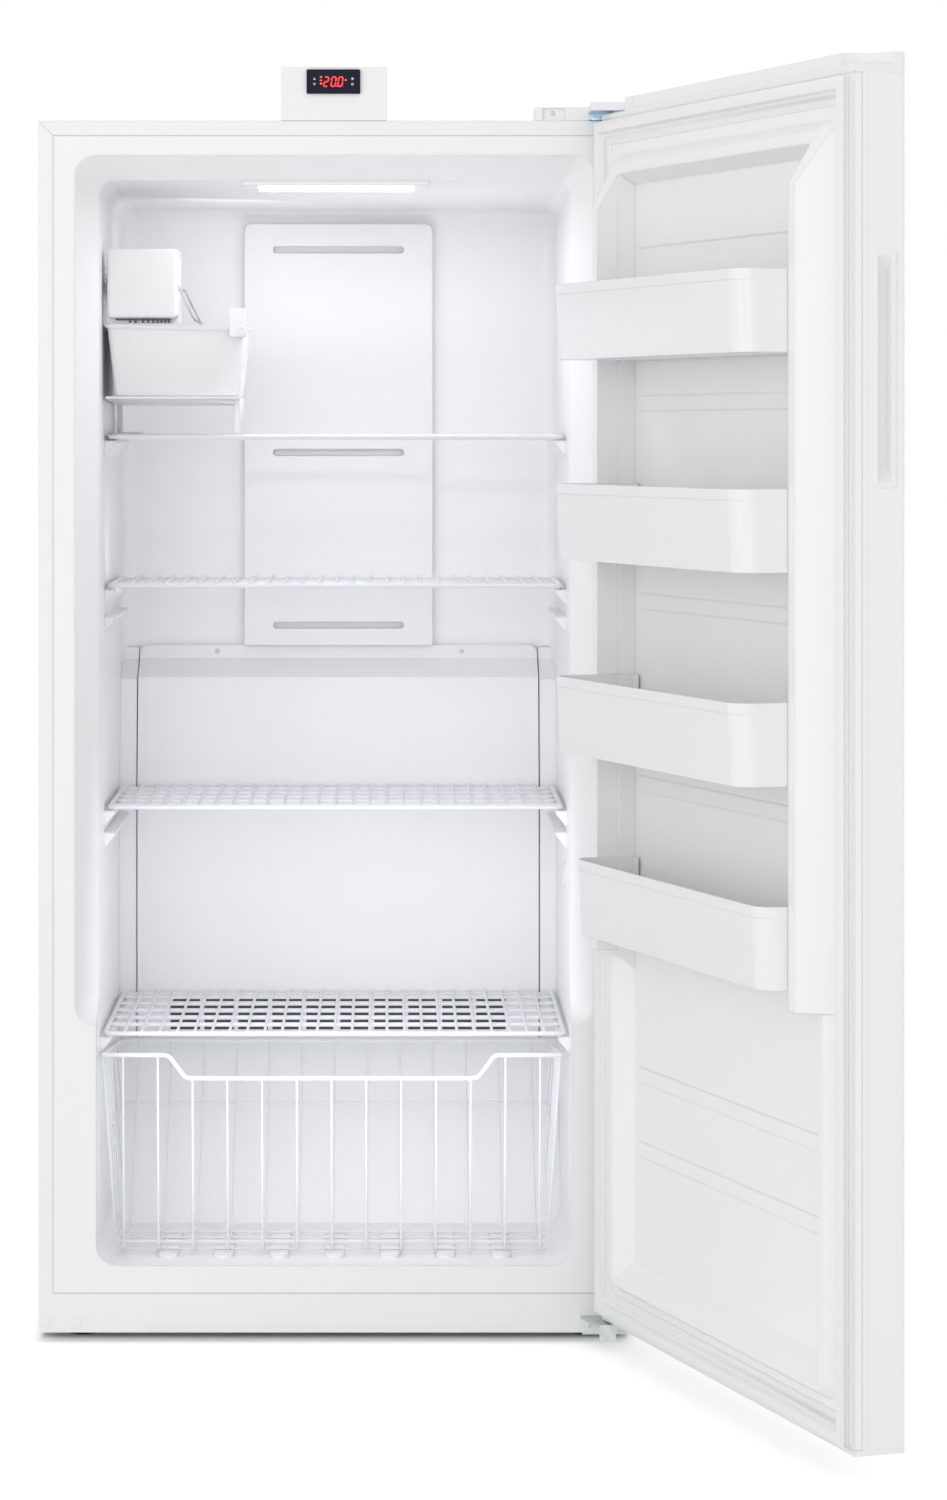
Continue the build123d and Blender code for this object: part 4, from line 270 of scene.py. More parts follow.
# Back, base and machine cover. Bare zinc-coated sheet with the soft spangle of hot galvanising;
# pressed, slotted and screwed to the shell's edges.
def zinc_group():
    """Spangle of galvanised sheet: flat crystals of slightly different brightness."""
    group, given, out = shader_group(
        "zinc spangle",
        [
            ("Bright", "NodeSocketColor", (0.7, 0.71, 0.72, 1)),
            ("Dull", "NodeSocketColor", (0.5, 0.51, 0.53, 1)),
            ("Crystal Scale", "NodeSocketFloat", 90.0),
            ("Roughness", "NodeSocketFloat", 0.38),
        ],
        [("Colour", "NodeSocketColor"), ("Roughness", "NodeSocketFloat"), ("Height", "NodeSocketFloat")],
    )
    place = add_node(group, "ShaderNodeTexCoord")
    crystals = add_node(group, "ShaderNodeTexVoronoi")
    haze = add_node(group, "ShaderNodeTexNoise", Scale=24.0, Detail=4.0)
    single = add_node(group, "ShaderNodeSeparateColor")
    blend = add_node(group, "ShaderNodeMath", {"operation": "MULTIPLY", "use_clamp": True})
    mix = add_node(group, "ShaderNodeMix", {"data_type": "RGBA"})
    gloss = add_node(group, "ShaderNodeMath", {"operation": "MULTIPLY_ADD"})
    gloss.inputs[1].default_value = 0.16
    link = group.links.new
    link(place.outputs["Object"], crystals.inputs["Vector"])
    link(given.outputs["Crystal Scale"], crystals.inputs["Scale"])
    link(place.outputs["Object"], haze.inputs["Vector"])
    link(crystals.outputs["Color"], single.inputs[0])
    link(single.outputs[0], blend.inputs[0])
    link(haze.outputs["Fac"], blend.inputs[1])
    link(blend.outputs[0], mix.inputs[0])
    link(given.outputs["Bright"], mix.inputs[6])
    link(given.outputs["Dull"], mix.inputs[7])
    link(single.outputs[1], gloss.inputs[0])
    link(given.outputs["Roughness"], gloss.inputs[2])
    link(mix.outputs[2], out.inputs["Colour"])
    link(gloss.outputs[0], out.inputs["Roughness"])
    link(haze.outputs["Fac"], out.inputs["Height"])
    return group


zinc_spangle = zinc_group()


def metal_material(name, bright, dull, roughness, crystals, relief=0.06):
    """Bare or plated metal with the zinc group's colour and gloss."""
    made = bpy.data.materials.new(name)
    made.use_nodes = True
    tree = made.node_tree
    tree.nodes["Principled BSDF"].inputs["Metallic"].default_value = 1.0
    skin = add_node(
        tree, "ShaderNodeGroup", {"node_tree": zinc_spangle}, Bright=(*bright, 1), Dull=(*dull, 1),
        Crystal_Scale=crystals, Roughness=roughness,
    )
    dress_shader(tree, skin, add_node(tree, "ShaderNodeBump", Strength=relief, Distance=0.0005))
    return made


galvanised = metal_material(
    "galvanised sheet", (0.72, 0.73, 0.74), (0.52, 0.53, 0.55), roughness=0.36, crystals=80.0
)
dress(galvanised, "back_panel", "base_pan", "machine_cover", "roller_brackets")


# Insulation. Polyurethane foam, poured between skin and lining, where it sets hard and holds both;
# it is seen only where nothing covers it.
foam_skin = skin_material(
    "cut foam", (0.80, 0.72, 0.48), (0.70, 0.62, 0.40),
    roughness=0.85, ripple_scale=500.0, ripple=0.6, tone=0.8, specular=0.2,
)
dress(foam_skin, "cabinet_foam", "door_foam")


# Inner lining. One vacuum-formed sheet of white polystyrene with a soft gloss, cooler than the paint;
# the shelves' ledges, the floor's ribs and the light's housing are formed with it.
formed_sheet = skin_material(
    "formed white sheet", (0.913, 0.913, 0.918), (0.898, 0.898, 0.906),
    roughness=0.34, ripple_scale=260.0, ripple=0.06, spread=0.05, edge=0.004,
)
dress(formed_sheet, "cabinet_liner", "door_liner")


# Joint of steel and lining. The lining's flange is tucked behind the steel return, which leaves a fine groove
# round the opening, and the return's own corners are mitred. Groove and mitres are drawn as thin grey strips
# that stand just proud of the face, their grey a painted shade.
def set_piece(name, mesh, finish, body):
    """A piece from its mesh, in its finish, on the body that carries it."""
    mesh.materials.append(finish)
    piece = bpy.data.objects.new(name, mesh)
    bpy.context.scene.collection.objects.link(piece)
    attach(piece, body)
    return piece


def solid_piece(name, points, faces, finish, body, slot, smooth=None):
    """A piece from points in millimetres; edges sharper than smooth degrees stay crisp."""
    mesh = bpy.data.meshes.new(name)
    mesh.from_pydata([(x / 1000, y / 1000, z / 1000) for x, y, z in points], [], faces)
    work = bmesh.new()
    work.from_mesh(mesh)
    bmesh.ops.recalc_face_normals(work, faces=work.faces)
    work.to_mesh(mesh)
    work.free()
    if smooth is not None:
        mesh.polygons.foreach_set("use_smooth", [True] * len(mesh.polygons))
        mesh.set_sharp_from_angle(angle=radians(smooth))
    return set_piece(name, mesh, finish, body)


def plate(outline, back, front):
    """Points and faces of a flat plate from an (x, z) outline, between two y values."""
    count = len(outline)
    points = [(x, back, z) for x, z in outline] + [(x, front, z) for x, z in outline]
    sides = [(k, (k + 1) % count, count + (k + 1) % count, count + k) for k in range(count)]
    return points, [tuple(range(count)), tuple(range(count, 2 * count)), *sides]


def joined(parts):
    """Several (points, faces) pairs as one."""
    points, faces = [], []
    for more, loops in parts:
        start = len(points)
        points += more
        faces += [tuple(start + k for k in loop) for loop in loops]
    return points, faces


def stroke(ax, az, bx, bz, width, back, front):
    """A straight line of a given width on an upright face."""
    length = ((bx - ax) ** 2 + (bz - az) ** 2) ** 0.5
    sx, sz = (bz - az) / length * width / 2, -(bx - ax) / length * width / 2
    outline = [(ax + sx, az + sz), (bx + sx, bz + sz), (bx - sx, bz - sz), (ax - sx, az - sz)]
    return plate(outline, back, front)


# The strips' grey is painted shade of the groove, not a colour of the joint.
groove_painted_shade = skin_material(
    "painted groove shade", (0.60, 0.60, 0.61), (0.54, 0.54, 0.55),
    roughness=0.6, ripple_scale=900.0, ripple=0.1, spread=0.05, specular=0.2,
)
shell_low, shell_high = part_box("outer_shell")
rim_face = shell_low.y * 1000
shell_side, shell_top = shell_high.x * 1000, shell_high.z * 1000
lining_low, lining_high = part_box("cabinet_liner")
lining_side, lining_foot, lining_head = lining_high.x * 1000, lining_low.z * 1000, lining_high.z * 1000
joint_width, mitre_width, mitre_inset = 1.0, 0.7, 2
groove_depth = (rim_face + 0.3, rim_face - 0.12)
uprights = [
    (side * lining_side, lining_foot, side * lining_side, lining_head, joint_width) for side in (-1, 1)
]
crossings = [(-lining_side, z, lining_side, z, joint_width) for z in (lining_head, lining_foot)]
mitres = [
    (side * lining_side, lining_head, side * (shell_side - mitre_inset), shell_top - mitre_inset, mitre_width)
    for side in (-1, 1)
]
solid_piece(
    "lining_joint_shade",
    *joined([stroke(*line, *groove_depth) for line in uprights + crossings + mitres]),
    groove_painted_shade,
    "cabinet",
    "white_steel",
)


# Moulded covers. Injection-moulded white plastic with a fine even grain: duct and evaporator covers,
# hinge cover, end caps of the door, plugs, handle pocket and bushes. The ice maker's housing, its stand
# and the ice bin take the same white made a little darker: painted shade against the inside lamps' light.
moulded_white = skin_material(
    "moulded white", (0.89, 0.89, 0.905), (0.865, 0.865, 0.885),
    roughness=0.36, ripple_scale=1400.0, ripple=0.12, spread=0.06, edge=0.0012,
)
dress(moulded_white, "duct_cover", "evaporator_cover", "top_hinge_cover", "door_top_cap", "door_bottom_cap")
dress(moulded_white, "rim_plugs", "handle_pocket", "hinge_bushes")
ice_parts_shaded_white = skin_material(
    "ice maker's shaded white", (0.845, 0.845, 0.855), (0.825, 0.825, 0.838),
    roughness=0.36, ripple_scale=1100.0, ripple=0.12, spread=0.06, edge=0.0012,
)
dress(ice_parts_shaded_white, "ice_maker_cover", "ice_bin_stand")


# Air duct's channel. A trough of moulded white foam leads the cold air up behind the duct's cover; its
# floor shows pale through the three outlets.
def rectangle(left, right, foot, head):
    """Corners of an upright rectangle, from the lower left and round."""
    return [(left, foot), (right, foot), (right, head), (left, head)]


moulded_foam = skin_material(
    "white moulded foam", (0.86, 0.855, 0.84), (0.83, 0.825, 0.81),
    roughness=0.7, ripple_scale=700.0, ripple=0.25, specular=0.2,
)
duct_low, duct_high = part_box("duct_cover")
side_wall, end_wall, channel_depth, channel_thickness = 18, 14, 6.5, 3
channel_floor = duct_low.y * 1000 + channel_depth
channel_outline = rectangle(
    duct_low.x * 1000 + side_wall,
    duct_high.x * 1000 - side_wall,
    duct_low.z * 1000 + end_wall,
    duct_high.z * 1000 - end_wall,
)
solid_piece(
    "duct_channel",
    *plate(channel_outline, channel_floor + channel_thickness, channel_floor),
    moulded_foam,
    "cabinet",
    "foam",
)


# Screws. Zinc-plated pan heads with a cross recess: two at the evaporator cover's upper flange, one in
# the hinge cover's pocket, two in the lower hinge plate. They are pressed from wire and rolled.
plated_zinc = metal_material(
    "plated zinc", (0.74, 0.76, 0.76), (0.60, 0.63, 0.63), roughness=0.30, crystals=420.0
)


def cross_head(x, face, z, radius, height):
    """A domed head on a face that looks to the front; rings of points, with the cross pressed in."""
    rings, spokes = 14, 48
    recess_depth, slot_half, slot_reach = 0.55, 0.17, 0.62
    points, faces = [(x, face - height * (1 - recess_depth), z)], []
    for ring in range(1, rings + 1):
        reach = radius * ring / rings
        for spoke in range(spokes):
            turn = 2 * pi * spoke / spokes
            across, up = reach * cos(turn), reach * sin(turn)
            rise = height * (1 - (reach / radius) ** 4) ** 0.5 if ring < rings else 0.0
            in_slot = max(0.0, 1 - (min(abs(across), abs(up)) / (radius * slot_half)) ** 2)
            recess = in_slot * max(0.0, 1 - (reach / (radius * slot_reach)) ** 3)
            points.append((x + across, face - rise + height * recess_depth * recess, z + up))
    for spoke in range(spokes):
        after = (spoke + 1) % spokes
        faces.append((0, 1 + spoke, 1 + after))
        for ring in range(1, rings):
            low, high = 1 + (ring - 1) * spokes, 1 + ring * spokes
            faces.append((low + spoke, high + spoke, high + after, low + after))
    return points, faces


flange_screw_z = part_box("evaporator_cover")[1].z * 1000 - 9.5
flange_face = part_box("cabinet_screws")[1].y * 1000
hinge_cover_low, hinge_cover_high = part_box("top_hinge_cover")
hinge_plate_low, hinge_plate_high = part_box("bottom_hinge_bracket")
hinge_plate_face, hinge_plate_foot = hinge_plate_high.y * 1000 - 3, hinge_plate_low.z * 1000
in_hood = (hinge_cover_low.x * 1000 + 25, hinge_cover_low.y * 1000 + 67, hinge_cover_high.z * 1000 - 11)
in_plate_left = (hinge_plate_low.x * 1000 + 13, hinge_plate_face, hinge_plate_foot + 14)
in_plate_right = (hinge_plate_high.x * 1000 - 12, hinge_plate_face, hinge_plate_foot + 11)
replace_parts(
    solid_piece(
        "cross_head_screws",
        *joined(
            [
                cross_head(-191, flange_face, flange_screw_z, 4.0, 2.0),
                cross_head(194, flange_face, flange_screw_z, 4.0, 2.0),
                cross_head(*in_hood, 3.5, 2.5),
                cross_head(*in_plate_left, 4.5, 3.0),
                cross_head(*in_plate_right, 4.5, 3.0),
            ]
        ),
        plated_zinc,
        "cabinet",
        "zinc_steel",
        smooth=40,
    ),
    "cabinet_screws",
)


# Hinges. Bent steel plate, zinc plated: the lower one passivated to a faint green, the one on the roof
# to a faint blue. Both are screwed to the cabinet.
passivated = metal_material(
    "passivated zinc", (0.64, 0.68, 0.665), (0.48, 0.52, 0.515), roughness=0.33, crystals=160.0
)
dress(passivated, "bottom_hinge_bracket")
blue_zinc = metal_material(
    "blue zinc", (0.50, 0.65, 0.73), (0.40, 0.54, 0.62), roughness=0.32, crystals=160.0
)
dress(blue_zinc, "top_hinge_bracket")


# Sink marks of the evaporator cover. Three small moulded discs show where its posts stand behind the
# face; all three are on the upper half, which leans back.
def ring_loft(rings, close_start=True, close_end=True):
    """Points and faces through rings of equal count."""
    count = len(rings[0])
    points = [point for ring in rings for point in ring]
    faces = []
    for r in range(len(rings) - 1):
        low, high = r * count, (r + 1) * count
        faces += [(low + k, low + (k + 1) % count, high + (k + 1) % count, high + k) for k in range(count)]
    if close_start:
        faces.append(tuple(range(count)))
    if close_end:
        faces.append(tuple((len(rings) - 1) * count + k for k in range(count)))
    return points, faces


def low_disc(x, face, z, radius, height):
    """A ring-edged disc on a face that looks to the front."""
    turns = [2 * pi * k / 32 for k in range(32)]
    profile = [(1.0, 0.0), (0.94, height), (0.78, height), (0.72, height * 0.3)]
    rings = [
        [(x + radius * part * cos(turn), face - rise, z + radius * part * sin(turn)) for turn in turns]
        for part, rise in profile
    ]
    return ring_loft(rings, close_start=False)


cover_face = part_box("evaporator_cover")[0].y * 1000
crease_z, slope_back, slope_height = 768, 22, 155
disc_sunk, disc_radius, disc_rise = 0.4, 3.2, 0.6
post_marks = []
for post_x, post_z in ((-72, 894.5), (51.3, 894.5), (-11, 790)):
    leant = cover_face + slope_back * (post_z - crease_z) / slope_height + disc_sunk
    post_marks.append(low_disc(post_x, leant, post_z, disc_radius, disc_rise))
solid_piece(
    "cover_post_marks",
    *joined(post_marks),
    moulded_white,
    "cabinet",
    "white_plastic",
    smooth=30,
)


# Ceiling light. A frosted plastic lens, snapped into the lining's housing, with a row of small lamps
# behind it. The soft lamps stand for the light that the white lining throws back.
lens_glow = bpy.data.materials.new("frosted lens")
lens_glow.use_nodes = True
lens_tree = lens_glow.node_tree
lens_shader = lens_tree.nodes["Principled BSDF"]
lens_shader.inputs["Roughness"].default_value = 0.45
lens_shader.inputs["Emission Strength"].default_value = 1.1
lens_place = add_node(lens_tree, "ShaderNodeTexCoord")
lens_frost = add_node(lens_tree, "ShaderNodeTexNoise", Scale=30.0, Detail=2.0)
lens_ramp = add_node(lens_tree, "ShaderNodeValToRGB")
cold_white = (0.93, 0.95, 1.0)
lens_ramp.color_ramp.elements[0].color = (*cold_white, 1)
lens_ramp.color_ramp.elements[1].color = (1.0, 1.0, 1.0, 1)
lens_tree.links.new(lens_place.outputs["Object"], lens_frost.inputs["Vector"])
lens_tree.links.new(lens_frost.outputs["Fac"], lens_ramp.inputs["Fac"])
lens_tree.links.new(lens_ramp.outputs["Color"], lens_shader.inputs["Base Color"])
lens_tree.links.new(lens_ramp.outputs["Color"], lens_shader.inputs["Emission Color"])
dress(lens_glow, "light_lens")
lens_low, lens_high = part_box("light_lens")
lens_y = ((lens_low + lens_high) / 2).y
inside_lamps = [
    soft_lamp("lens lamp", (0, lens_y, lens_low.z - 0.004), (0, lens_y + 0.02, 0.8), 0.34, 0.10, 0.95),
    soft_lamp("ceiling bounce", (0.04, -0.02, 1.36), (0.02, -0.10, 1.7), 0.4, 0.3, 0.32),
    soft_lamp("middle bounce", (-0.08, -0.14, 1.10), (-0.08, 0.25, 1.30), 0.5, 0.12, 0.22),
    soft_lamp("corner bounce", (-0.16, 0.02, 1.60), (-0.23, 0.265, 1.50), 0.16, 0.12, 0.11),
    soft_lamp("basket bounce", (0, -0.33, 0.5), (0, 0.3, 0.45), 0.6, 0.6, 0.85),
]
for inside_lamp in inside_lamps:
    inside_lamp.data.color = cold_white
    inside_lamp.visible_camera = False
    inside_lamp.visible_glossy = False


# Wire shelves and basket. Welded steel wire, dipped in a thick white coat that rounds every joint;
# they slide out on the ledges and ribs that are formed in the lining.
dipped_wire = skin_material(
    "dipped white coat", (0.80, 0.81, 0.845), (0.77, 0.78, 0.82),
    roughness=0.33, ripple_scale=160.0, ripple=0.2, spread=0.05, coat=0.2,
)
dress(dipped_wire, "wire_shelf_1", "wire_shelf_2", "wire_shelf_3", "wire_shelf_4")
dress(dipped_wire, "basket_ends", "basket_sides", "basket_floor")


# Lowest shelf. Welded and dipped as the others are, with its cross wires 37 mm further back, so that
# the dark slots of the return grille show between them from the front.
def wire_frame(name, runs, finish, body):
    """One piece of round wires: each run is a radius and the points it passes through, in millimetres."""
    line = bpy.data.curves.new(name, "CURVE")
    line.dimensions = "3D"
    line.bevel_depth = 0.001
    line.bevel_resolution = 3
    line.use_fill_caps = True
    for radius, route in runs:
        run = line.splines.new("POLY")
        run.points.add(len(route) - 1)
        for point, (x, y, z) in zip(run.points, route):
            point.co = (x / 1000, y / 1000, z / 1000, 1)
            point.radius = radius
    shape = bpy.data.objects.new(name + "_line", line)
    mesh = bpy.data.meshes.new_from_object(shape)
    bpy.data.objects.remove(shape)
    mesh.name = name
    mesh.polygons.foreach_set("use_smooth", [True] * len(mesh.polygons))
    return set_piece(name, mesh, finish, body)


shelf_low, shelf_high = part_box("wire_shelf_4")
rail_radius, cross_radius, fine_radius, bend_radius = 3.3, 3.0, 2.2, 12.0
first_cross, cross_pitch, fine_pitch = 112.2, 74.8, 25.4
shelf_side = shelf_high.x * 1000 - rail_radius
shelf_front = shelf_low.y * 1000 + rail_radius
shelf_back = shelf_high.y * 1000
fine_z = shelf_high.z * 1000 - fine_radius
cross_z = shelf_low.z * 1000 + cross_radius
rail_z, rail_back = fine_z - 2, shelf_back - 1
bend = [(bend_radius * (1 - sin(k * pi / 12)), bend_radius * (1 - cos(k * pi / 12))) for k in range(7)]
rim = [(-shelf_side, rail_back, rail_z)]
rim += [(-shelf_side + inward, shelf_front + back, rail_z) for inward, back in reversed(bend)]
rim += [(shelf_side - inward, shelf_front + back, rail_z) for inward, back in bend]
rim += [(shelf_side, rail_back, rail_z)]
cross_places = [shelf_front + first_cross + cross_pitch * k for k in range(5)] + [shelf_back - cross_radius]
cross_wires = [(cross_radius, [(-shelf_side, y, cross_z), (shelf_side, y, cross_z)]) for y in cross_places]
fine_wires = [
    (fine_radius, [(fine_pitch * k, shelf_front, fine_z), (fine_pitch * k, shelf_back, fine_z)])
    for k in range(-12, 13)
]
all_wires = [(rail_radius, rim)] + cross_wires + fine_wires
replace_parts(wire_frame("lowest_shelf", all_wires, dipped_wire, "shelf_4"), "wire_shelf_4")


# Evaporator and fans. Aluminium fins pressed on tube, a tube heater below, and a moulded fan on its
# motor, all behind the cover; the condenser in the base and its fan are made the same way.
mill_aluminium = metal_material(
    "mill aluminium", (0.80, 0.81, 0.82), (0.66, 0.67, 0.69), roughness=0.34, crystals=240.0
)
dark_moulding = skin_material(
    "dark grey moulding", (0.10, 0.10, 0.105), (0.07, 0.07, 0.075),
    roughness=0.5, ripple_scale=900.0, ripple=0.3, spread=0.12,
)
dress(mill_aluminium, "evaporator_coil", "defrost_heater", "condenser", "ice_maker_mould")
dress(dark_moulding, "evaporator_fan", "evaporator_fan_motor", "condenser_fan", "condenser_fan_motor")
dress(dark_moulding, "drip_pan")


# Shade behind the return grille. A dark moulded plate set just behind the cover's slots: painted shade
# that stands for the dark cavity there, and keeps the fins out of sight.
grille_low, grille_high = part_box("evaporator_cover")
shade_plate_front = grille_low.y * 1000 + 4.5
shade_plate_foot = grille_low.z * 1000 + 4
shade_plate_inset, shade_plate_height, shade_plate_thickness = 43, 74, 1.2
shade_plate_outline = rectangle(
    grille_low.x * 1000 + shade_plate_inset,
    grille_high.x * 1000 - shade_plate_inset,
    shade_plate_foot,
    shade_plate_foot + shade_plate_height,
)
solid_piece(
    "grille_shade_plate",
    *plate(shade_plate_outline, shade_plate_front + shade_plate_thickness, shade_plate_front),
    dark_moulding,
    "cabinet",
    "grey_plastic",
)


# Compressor. A deep-drawn steel can, welded round the middle and painted black; it stands on rubber
# feet on the base pan.
black_paint = skin_material(
    "black machine paint", (0.018, 0.018, 0.019), (0.03, 0.03, 0.03),
    roughness=0.38, ripple_scale=300.0, ripple=0.3, spread=0.2,
)
dress(black_paint, "compressor")


# Rubber. Moulded black rubber: the gland in the back, the tyres pressed on the rollers, and the pads of
# the screw feet.
black_rubber = skin_material(
    "black rubber", (0.022, 0.022, 0.023), (0.04, 0.04, 0.042),
    roughness=0.72, ripple_scale=1100.0, ripple=0.35, spread=0.15, specular=0.3,
)
dress(black_rubber, "power_inlet", "rear_rollers", "levelling_foot_left", "levelling_foot_right")


# Door bins. White plastic, moulded thin and glossy, with a rolled upper edge; they hang on lugs of the
# door's lining.
bin_white = skin_material(
    "glossy bin white", (0.88, 0.88, 0.89), (0.855, 0.857, 0.87),
    roughness=0.22, ripple_scale=500.0, ripple=0.05, spread=0.05, edge=0.0015,
)
dress(bin_white, "door_bin_1", "door_bin_2", "door_bin_3", "door_bin_4")


# Ice bin. Moulded white plastic, wider at the top, with a lip all round, a front that turns back at
# the right, and a pull tab at that corner with the round stop that holds it on its stand.
def rounded(corners, radii, steps=6):
    """A closed outline with its corners rounded, in order."""
    outline = []
    for k, (x, y) in enumerate(corners):
        before, after = Vector(corners[k - 1]), Vector(corners[(k + 1) % len(corners)])
        here = Vector((x, y))
        into, away = (before - here).normalized(), (after - here).normalized()
        setback = radii[k] / max(0.2, into.angle(away) / (pi / 2))
        start, end = here + into * setback, here + away * setback
        for step in range(steps + 1):
            t = step / steps
            spot = start * (1 - t) ** 2 + here * 2 * t * (1 - t) + end * t**2
            outline.append((spot.x, spot.y))
    return outline


ice_low, ice_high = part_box("ice_bin")
bin_left, bin_right = ice_low.x * 1000, ice_high.x * 1000
bin_front, bin_back = ice_low.y * 1000, ice_high.y * 1000
bin_foot, bin_rim = ice_low.z * 1000, 1464.0
wall_lean, lip_reach, dip_length = 12.0, 4, 30
front_bend_x, front_turn = -194, 7


def bin_plan(inset, z, dip=0.0):
    """The bin's outline at one height; dip lowers the front edge towards the tab."""
    lean = wall_lean * (bin_rim - z) / (bin_rim - bin_foot)
    left, right = bin_left + lip_reach + inset + lean, bin_right - lip_reach - inset - lean * 0.8
    front, back = bin_front + lip_reach + inset + lean * 0.5, bin_back - lip_reach - inset - lean
    corners = [(left, front), (front_bend_x, front), (right, front + front_turn), (right, back), (left, back)]
    ring = []
    for x, y in rounded(corners, (10, 6, 9, 10, 10)):
        near_front = max(0.0, 1 - (y - front) / dip_length)
        slope = max(0.0, min(1.0, (x - left) / (right - left)))
        ring.append((x, y, z - dip * near_front * slope))
    return ring


ice_bin_rings = [
    bin_plan(2.0, bin_foot),
    bin_plan(0.0, bin_foot + 2.5),
    bin_plan(0.0, bin_rim - 10, 3.0),
    bin_plan(0.0, bin_rim - 6, 5.0),
    bin_plan(-2.5, bin_rim - 4.5, 5.5),
    bin_plan(-3.6, bin_rim - 2.0, 6.0),
    bin_plan(-3.4, bin_rim, 6.0),
    bin_plan(2.2, bin_rim, 6.0),
    bin_plan(2.6, bin_rim - 3, 5.5),
    bin_plan(2.6, bin_foot + 4.5),
    bin_plan(5.0, bin_foot + 2.5),
]
tab_left, tab_right = bin_right - 25.5, bin_right - 1
tab_foot, tab_head = 1446, ice_high.z * 1000
tab_outline = rounded(rectangle(tab_left, tab_right, tab_foot, tab_head), (1.5, 5, 3, 2.5))
tab_rib = rectangle(tab_right - 2.4, tab_right, tab_foot, tab_head)
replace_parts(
    solid_piece(
        "moulded_ice_bin",
        *joined(
            [
                ring_loft(ice_bin_rings),
                plate(tab_outline, bin_front + 3.2, bin_front + 0.8),
                plate(tab_rib, bin_front + 20, bin_front + 2.5),
                low_disc(tab_right - 7.5, bin_front + 0.8, tab_foot + 9, 6.0, 0.8),
            ]
        ),
        ice_parts_shaded_white,
        "ice_box",
        "bin_plastic",
        smooth=38,
    ),
    "ice_bin",
)


# Ice maker's works. A grey moulded rake sweeps the aluminium mould, and a bent wire of plated steel on
# the cover's side feels how full the bin is.
dress(dark_moulding, "ice_ejector")
bright_steel = metal_material(
    "plated steel", (0.62, 0.64, 0.68), (0.48, 0.50, 0.54), roughness=0.26, crystals=300.0
)
arm_low, arm_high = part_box("ice_maker_arm")
pivot_inset, wire_radius = 3, 1.5
pivot_x, pivot_z = arm_high.x * 1000 - pivot_inset, arm_high.z * 1000 - pivot_inset
arm_front, arm_back = arm_low.y * 1000 + pivot_inset, arm_high.y * 1000 - pivot_inset
arm_bends = [(-5, 0, 0), (0, 0, -1), (8, 0, -18), (22, 0, -46), (25, 1, -50), (26, 5, -52)]
arm_route = [(pivot_x + right, arm_front + back, pivot_z + up) for right, back, up in arm_bends]
arm_route += [(pivot_x + right, arm_back - back, pivot_z + up) for right, back, up in reversed(arm_bends)]
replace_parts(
    wire_frame("feeler_arm", [(wire_radius, arm_route)], bright_steel, "bail"), "ice_maker_arm"
)


# Ice maker's cover. A moulded white cap over its motor, open below, where the mould's grey comb shows.
# It is clipped to the mould's front end.
cap_low, cap_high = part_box("ice_maker_cover")
cap_left, cap_right = cap_low.x * 1000 + 2.5, cap_high.x * 1000 - 4
cap_front, cap_back = cap_low.y * 1000, cap_high.y * 1000
cap_foot, cap_head, cap_corner = 1473.5, cap_high.z * 1000, 6


def cap_ring(y, inset):
    """The cap's outline at one depth."""
    corners = rectangle(cap_left + inset, cap_right - inset, cap_foot + inset, cap_head - inset)
    return [(x, y, z) for x, z in rounded(corners, (cap_corner,) * 4)]


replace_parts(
    solid_piece(
        "moulded_ice_maker_cover",
        *ring_loft(
            [
                cap_ring(cap_back, 0),
                cap_ring(cap_front + 4.5, 0.4),
                cap_ring(cap_front + 2.2, 0.9),
                cap_ring(cap_front + 0.8, 2.0),
                cap_ring(cap_front + 0.2, 3.6),
                cap_ring(cap_front, 5.5),
            ]
        ),
        ice_parts_shaded_white,
        "cabinet",
        "white_plastic",
        smooth=50,
    ),
    "ice_maker_cover",
)
comb_face, tooth_width, tooth_foot, tooth_head = cap_front + 9, 3.2, 1466.5, 1473.0
tooth_places = (-302, -294, -283, -275.5, -268, -262, -256, -250.5, -245)
teeth = [
    plate(rectangle(x, x + tooth_width, tooth_foot, tooth_head), comb_face + 8, comb_face)
    for x in tooth_places
]
comb_bar = plate(rectangle(-322, -240, 1470.2, 1472.6), comb_face + 10, comb_face + 2)
solid_piece("mould_comb", *joined(teeth + [comb_bar]), dark_moulding, "cabinet", "grey_plastic")


# Door gasket. Soft white vinyl pushed into the lining's groove: a magnet strip at the outer edge,
# a bellows behind it, and a thin lip that lies on the lining. Four extruded lengths are mitred and
# welded at the corners.
soft_vinyl = skin_material(
    "soft white vinyl", (0.885, 0.885, 0.89), (0.85, 0.85, 0.86),
    roughness=0.5, ripple_scale=700.0, ripple=0.12, spread=0.1, specular=0.35,
)
door_turn = radians(108.5)
pin_x, pin_y = 410.0, -375.0
edge_beyond_pin, lining_beyond_pin = 15, 23


def on_door(from_hinge, above_lining, z):
    """A point given from the door's hinge edge and its lining, at the door's angle of rest."""
    along, out = edge_beyond_pin - from_hinge, lining_beyond_pin + above_lining
    return (
        pin_x + along * cos(door_turn) - out * sin(door_turn),
        pin_y + along * sin(door_turn) + out * cos(door_turn),
        z,
    )


